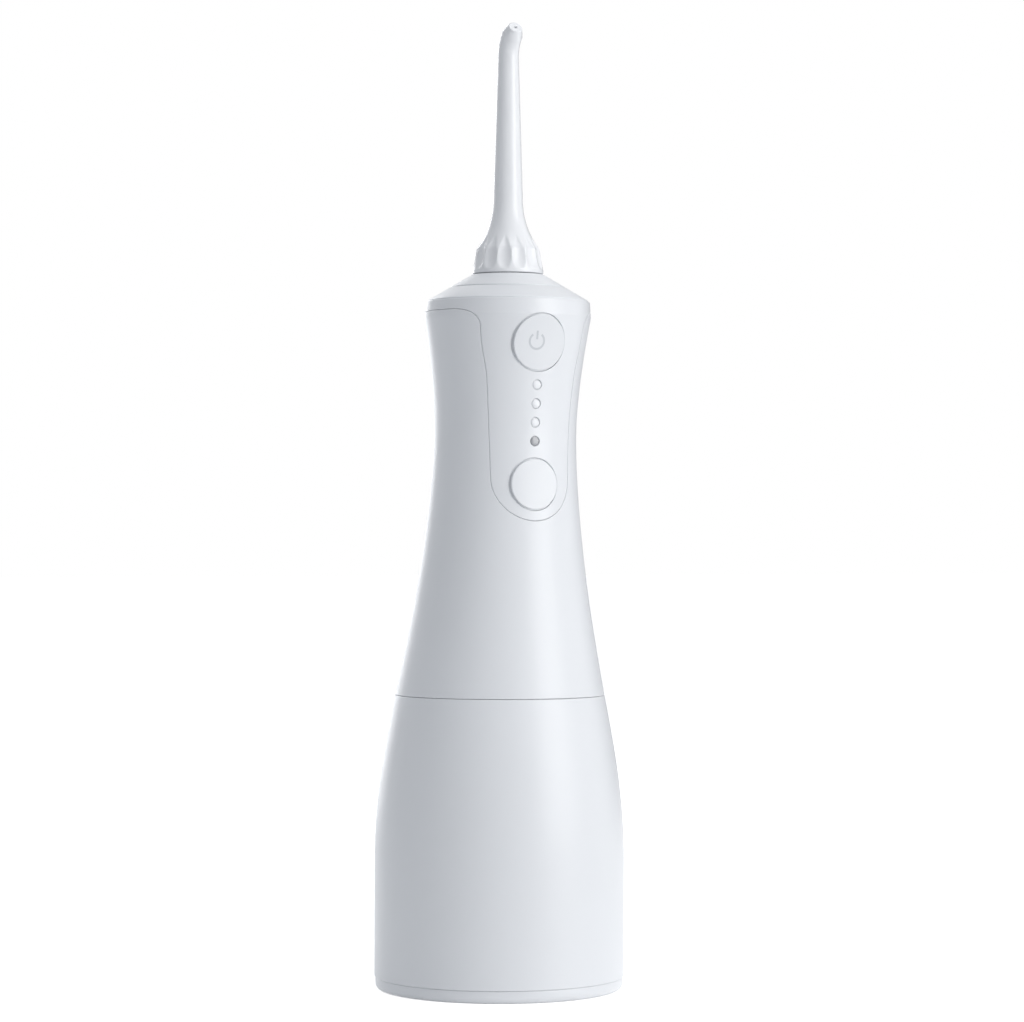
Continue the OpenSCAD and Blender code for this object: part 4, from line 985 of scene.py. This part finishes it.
def seen_directly(tree):
    """1 where the camera, a reflection or a see-through ray looks, and 0 for light that falls on things."""
    path = tree.nodes.new("ShaderNodeLightPath")
    either = maths(tree, "MAXIMUM", path.outputs["Is Camera Ray"], path.outputs["Is Glossy Ray"])
    return maths(tree, "MAXIMUM", either, path.outputs["Is Transmission Ray"])


def stage_plane(name, half_size, place, material):
    """A square of the stage, moved by a matrix."""
    bm = bmesh.new()
    bmesh.ops.create_grid(bm, x_segments=1, y_segments=1, size=half_size)
    bmesh.ops.transform(bm, matrix=place, verts=bm.verts)
    mesh = bpy.data.meshes.new(name)
    bm.to_mesh(mesh)
    bm.free()
    mesh.materials.append(material)
    plane = placed(name, mesh)
    return plane


world = bpy.data.worlds.new("studio")
world.use_nodes = True
scene.world = world
tree = world.node_tree
tree.nodes.clear()
soft = add_node(tree, "ShaderNodeBackground", Color=(0.90, 0.94, 1.0, 1), Strength=0.42)
white = add_node(tree, "ShaderNodeBackground", Color=(1, 1, 1, 1), Strength=1.0)
mix = add_node(tree, "ShaderNodeMixShader", None, seen_directly(tree), soft.outputs[0], white.outputs[0])
add_node(tree, "ShaderNodeOutputWorld", Surface=mix.outputs[0])

floor_white, tree, bsdf = new_material("floor_white", Base_Color=(0.9, 0.9, 0.9, 1), Roughness=1.0,
                                       Specular_IOR_Level=0.0, Emission_Color=(1, 1, 1, 1))
set_inputs(tree, bsdf, {"Emission Strength": maths(tree, "MULTIPLY", seen_directly(tree), FLOOR_GLOW)})
floor = stage_plane("floor", FLOOR_HALF, Matrix(), floor_white)
print("floor", 2 * FLOOR_HALF, "m wide")

# %% [markdown]
# ## The lamps
# A large soft lamp to the right gives the bright front, a small one above lights the cone, and a weak one
# far behind on the left gives the fine bright line along the shadow side. A dark card behind the flosser on
# the right is seen only in its gloss. It draws the thin grey line that parts a white edge from a white
# background, as a photographer's flag does.

# %% The lamps
MIDDLE = Vector((0, 0, 0.14))
camera_right = Vector((cos(turn), sin(turn), 0))
camera_side = Vector((sin(turn), -cos(turn), 0))


def soft_lamp(name, right, towards_camera, up, width, height, power, color=(1, 1, 1)):
    """A rectangular lamp placed by how far it stands to the camera's right, towards it and up."""
    data = bpy.data.lights.new(name, "AREA")
    data.shape, data.size, data.size_y, data.energy, data.color = "RECTANGLE", width, height, power, color
    place = MIDDLE + camera_right * right + camera_side * towards_camera + Vector((0, 0, up))
    aim = (MIDDLE - place).to_track_quat("-Z", "Y").to_matrix().to_4x4()
    placed(name, data).matrix_world = Matrix.Translation(place) @ aim


soft_lamp("key_lamp", 1.0, 0.64, 0.2, 0.7, 1.0, 8.6, (1.0, 0.995, 0.985))
soft_lamp("top_lamp", 0.2, 0.2, 1.2, 0.8, 0.8, 4.0)
soft_lamp("back_lamp", -0.6, -1.25, 0.3, 0.6, 1.0, 4.6, (0.98, 0.99, 1.0))

card_place = camera_right * 0.62 - camera_side * 0.95 + Vector((0, 0, 0.2))
facing = (-card_place).to_track_quat("Z", "Y").to_matrix().to_4x4()
card_grey = new_material("card_grey", Base_Color=(0.02, 0.02, 0.02, 1))[0]
edge_card = stage_plane("edge_card", 0.5, Matrix.Translation(card_place) @ facing, card_grey)
edge_card.visible_camera = edge_card.visible_diffuse = edge_card.visible_shadow = False
edge_card.visible_transmission = False

# %% [markdown]
# ## Measuring the picture
# Comparing by eye hides small shifts. So the script finds where the finished pieces show: a vertex counts only
# if a ray from the camera reaches it.

# %% The vertices that show
bpy.context.view_layer.update()
shown = [o for o in scene.objects if o.type == "MESH" and not o.hide_render and o not in (floor, edge_card)]
corners, sides = [], []
for thing in shown:
    sides += [[len(corners) + i for i in p.vertices] for p in thing.data.polygons]
    corners += [thing.matrix_world @ v.co for v in thing.data.vertices]
whole = BVHTree.FromPolygons(corners, sides)
eye = camera.matrix_world.translation


def showing(name):
    """Picture places of the vertices of a piece that the camera sees."""
    thing = bpy.data.objects[name]
    places = []
    for v in thing.data.vertices:
        place = thing.matrix_world @ v.co
        way = place - eye
        if whole.ray_cast(eye, way.normalized(), way.length - 0.0001)[0] is None:
            places.append((*shows_at(place), place.z / MM))
    return places


seen = {name: showing(name) for name in (
    "tank_body", "tank_foot", "grip_body", "front_panel", "power_key_cap", "mode_key_cap", "power_sign",
    "light_windows", "battery_window", "top_cone", "jet_nozzle")}
print("vertices that show:", {name: len(places) for name, places in seen.items()})
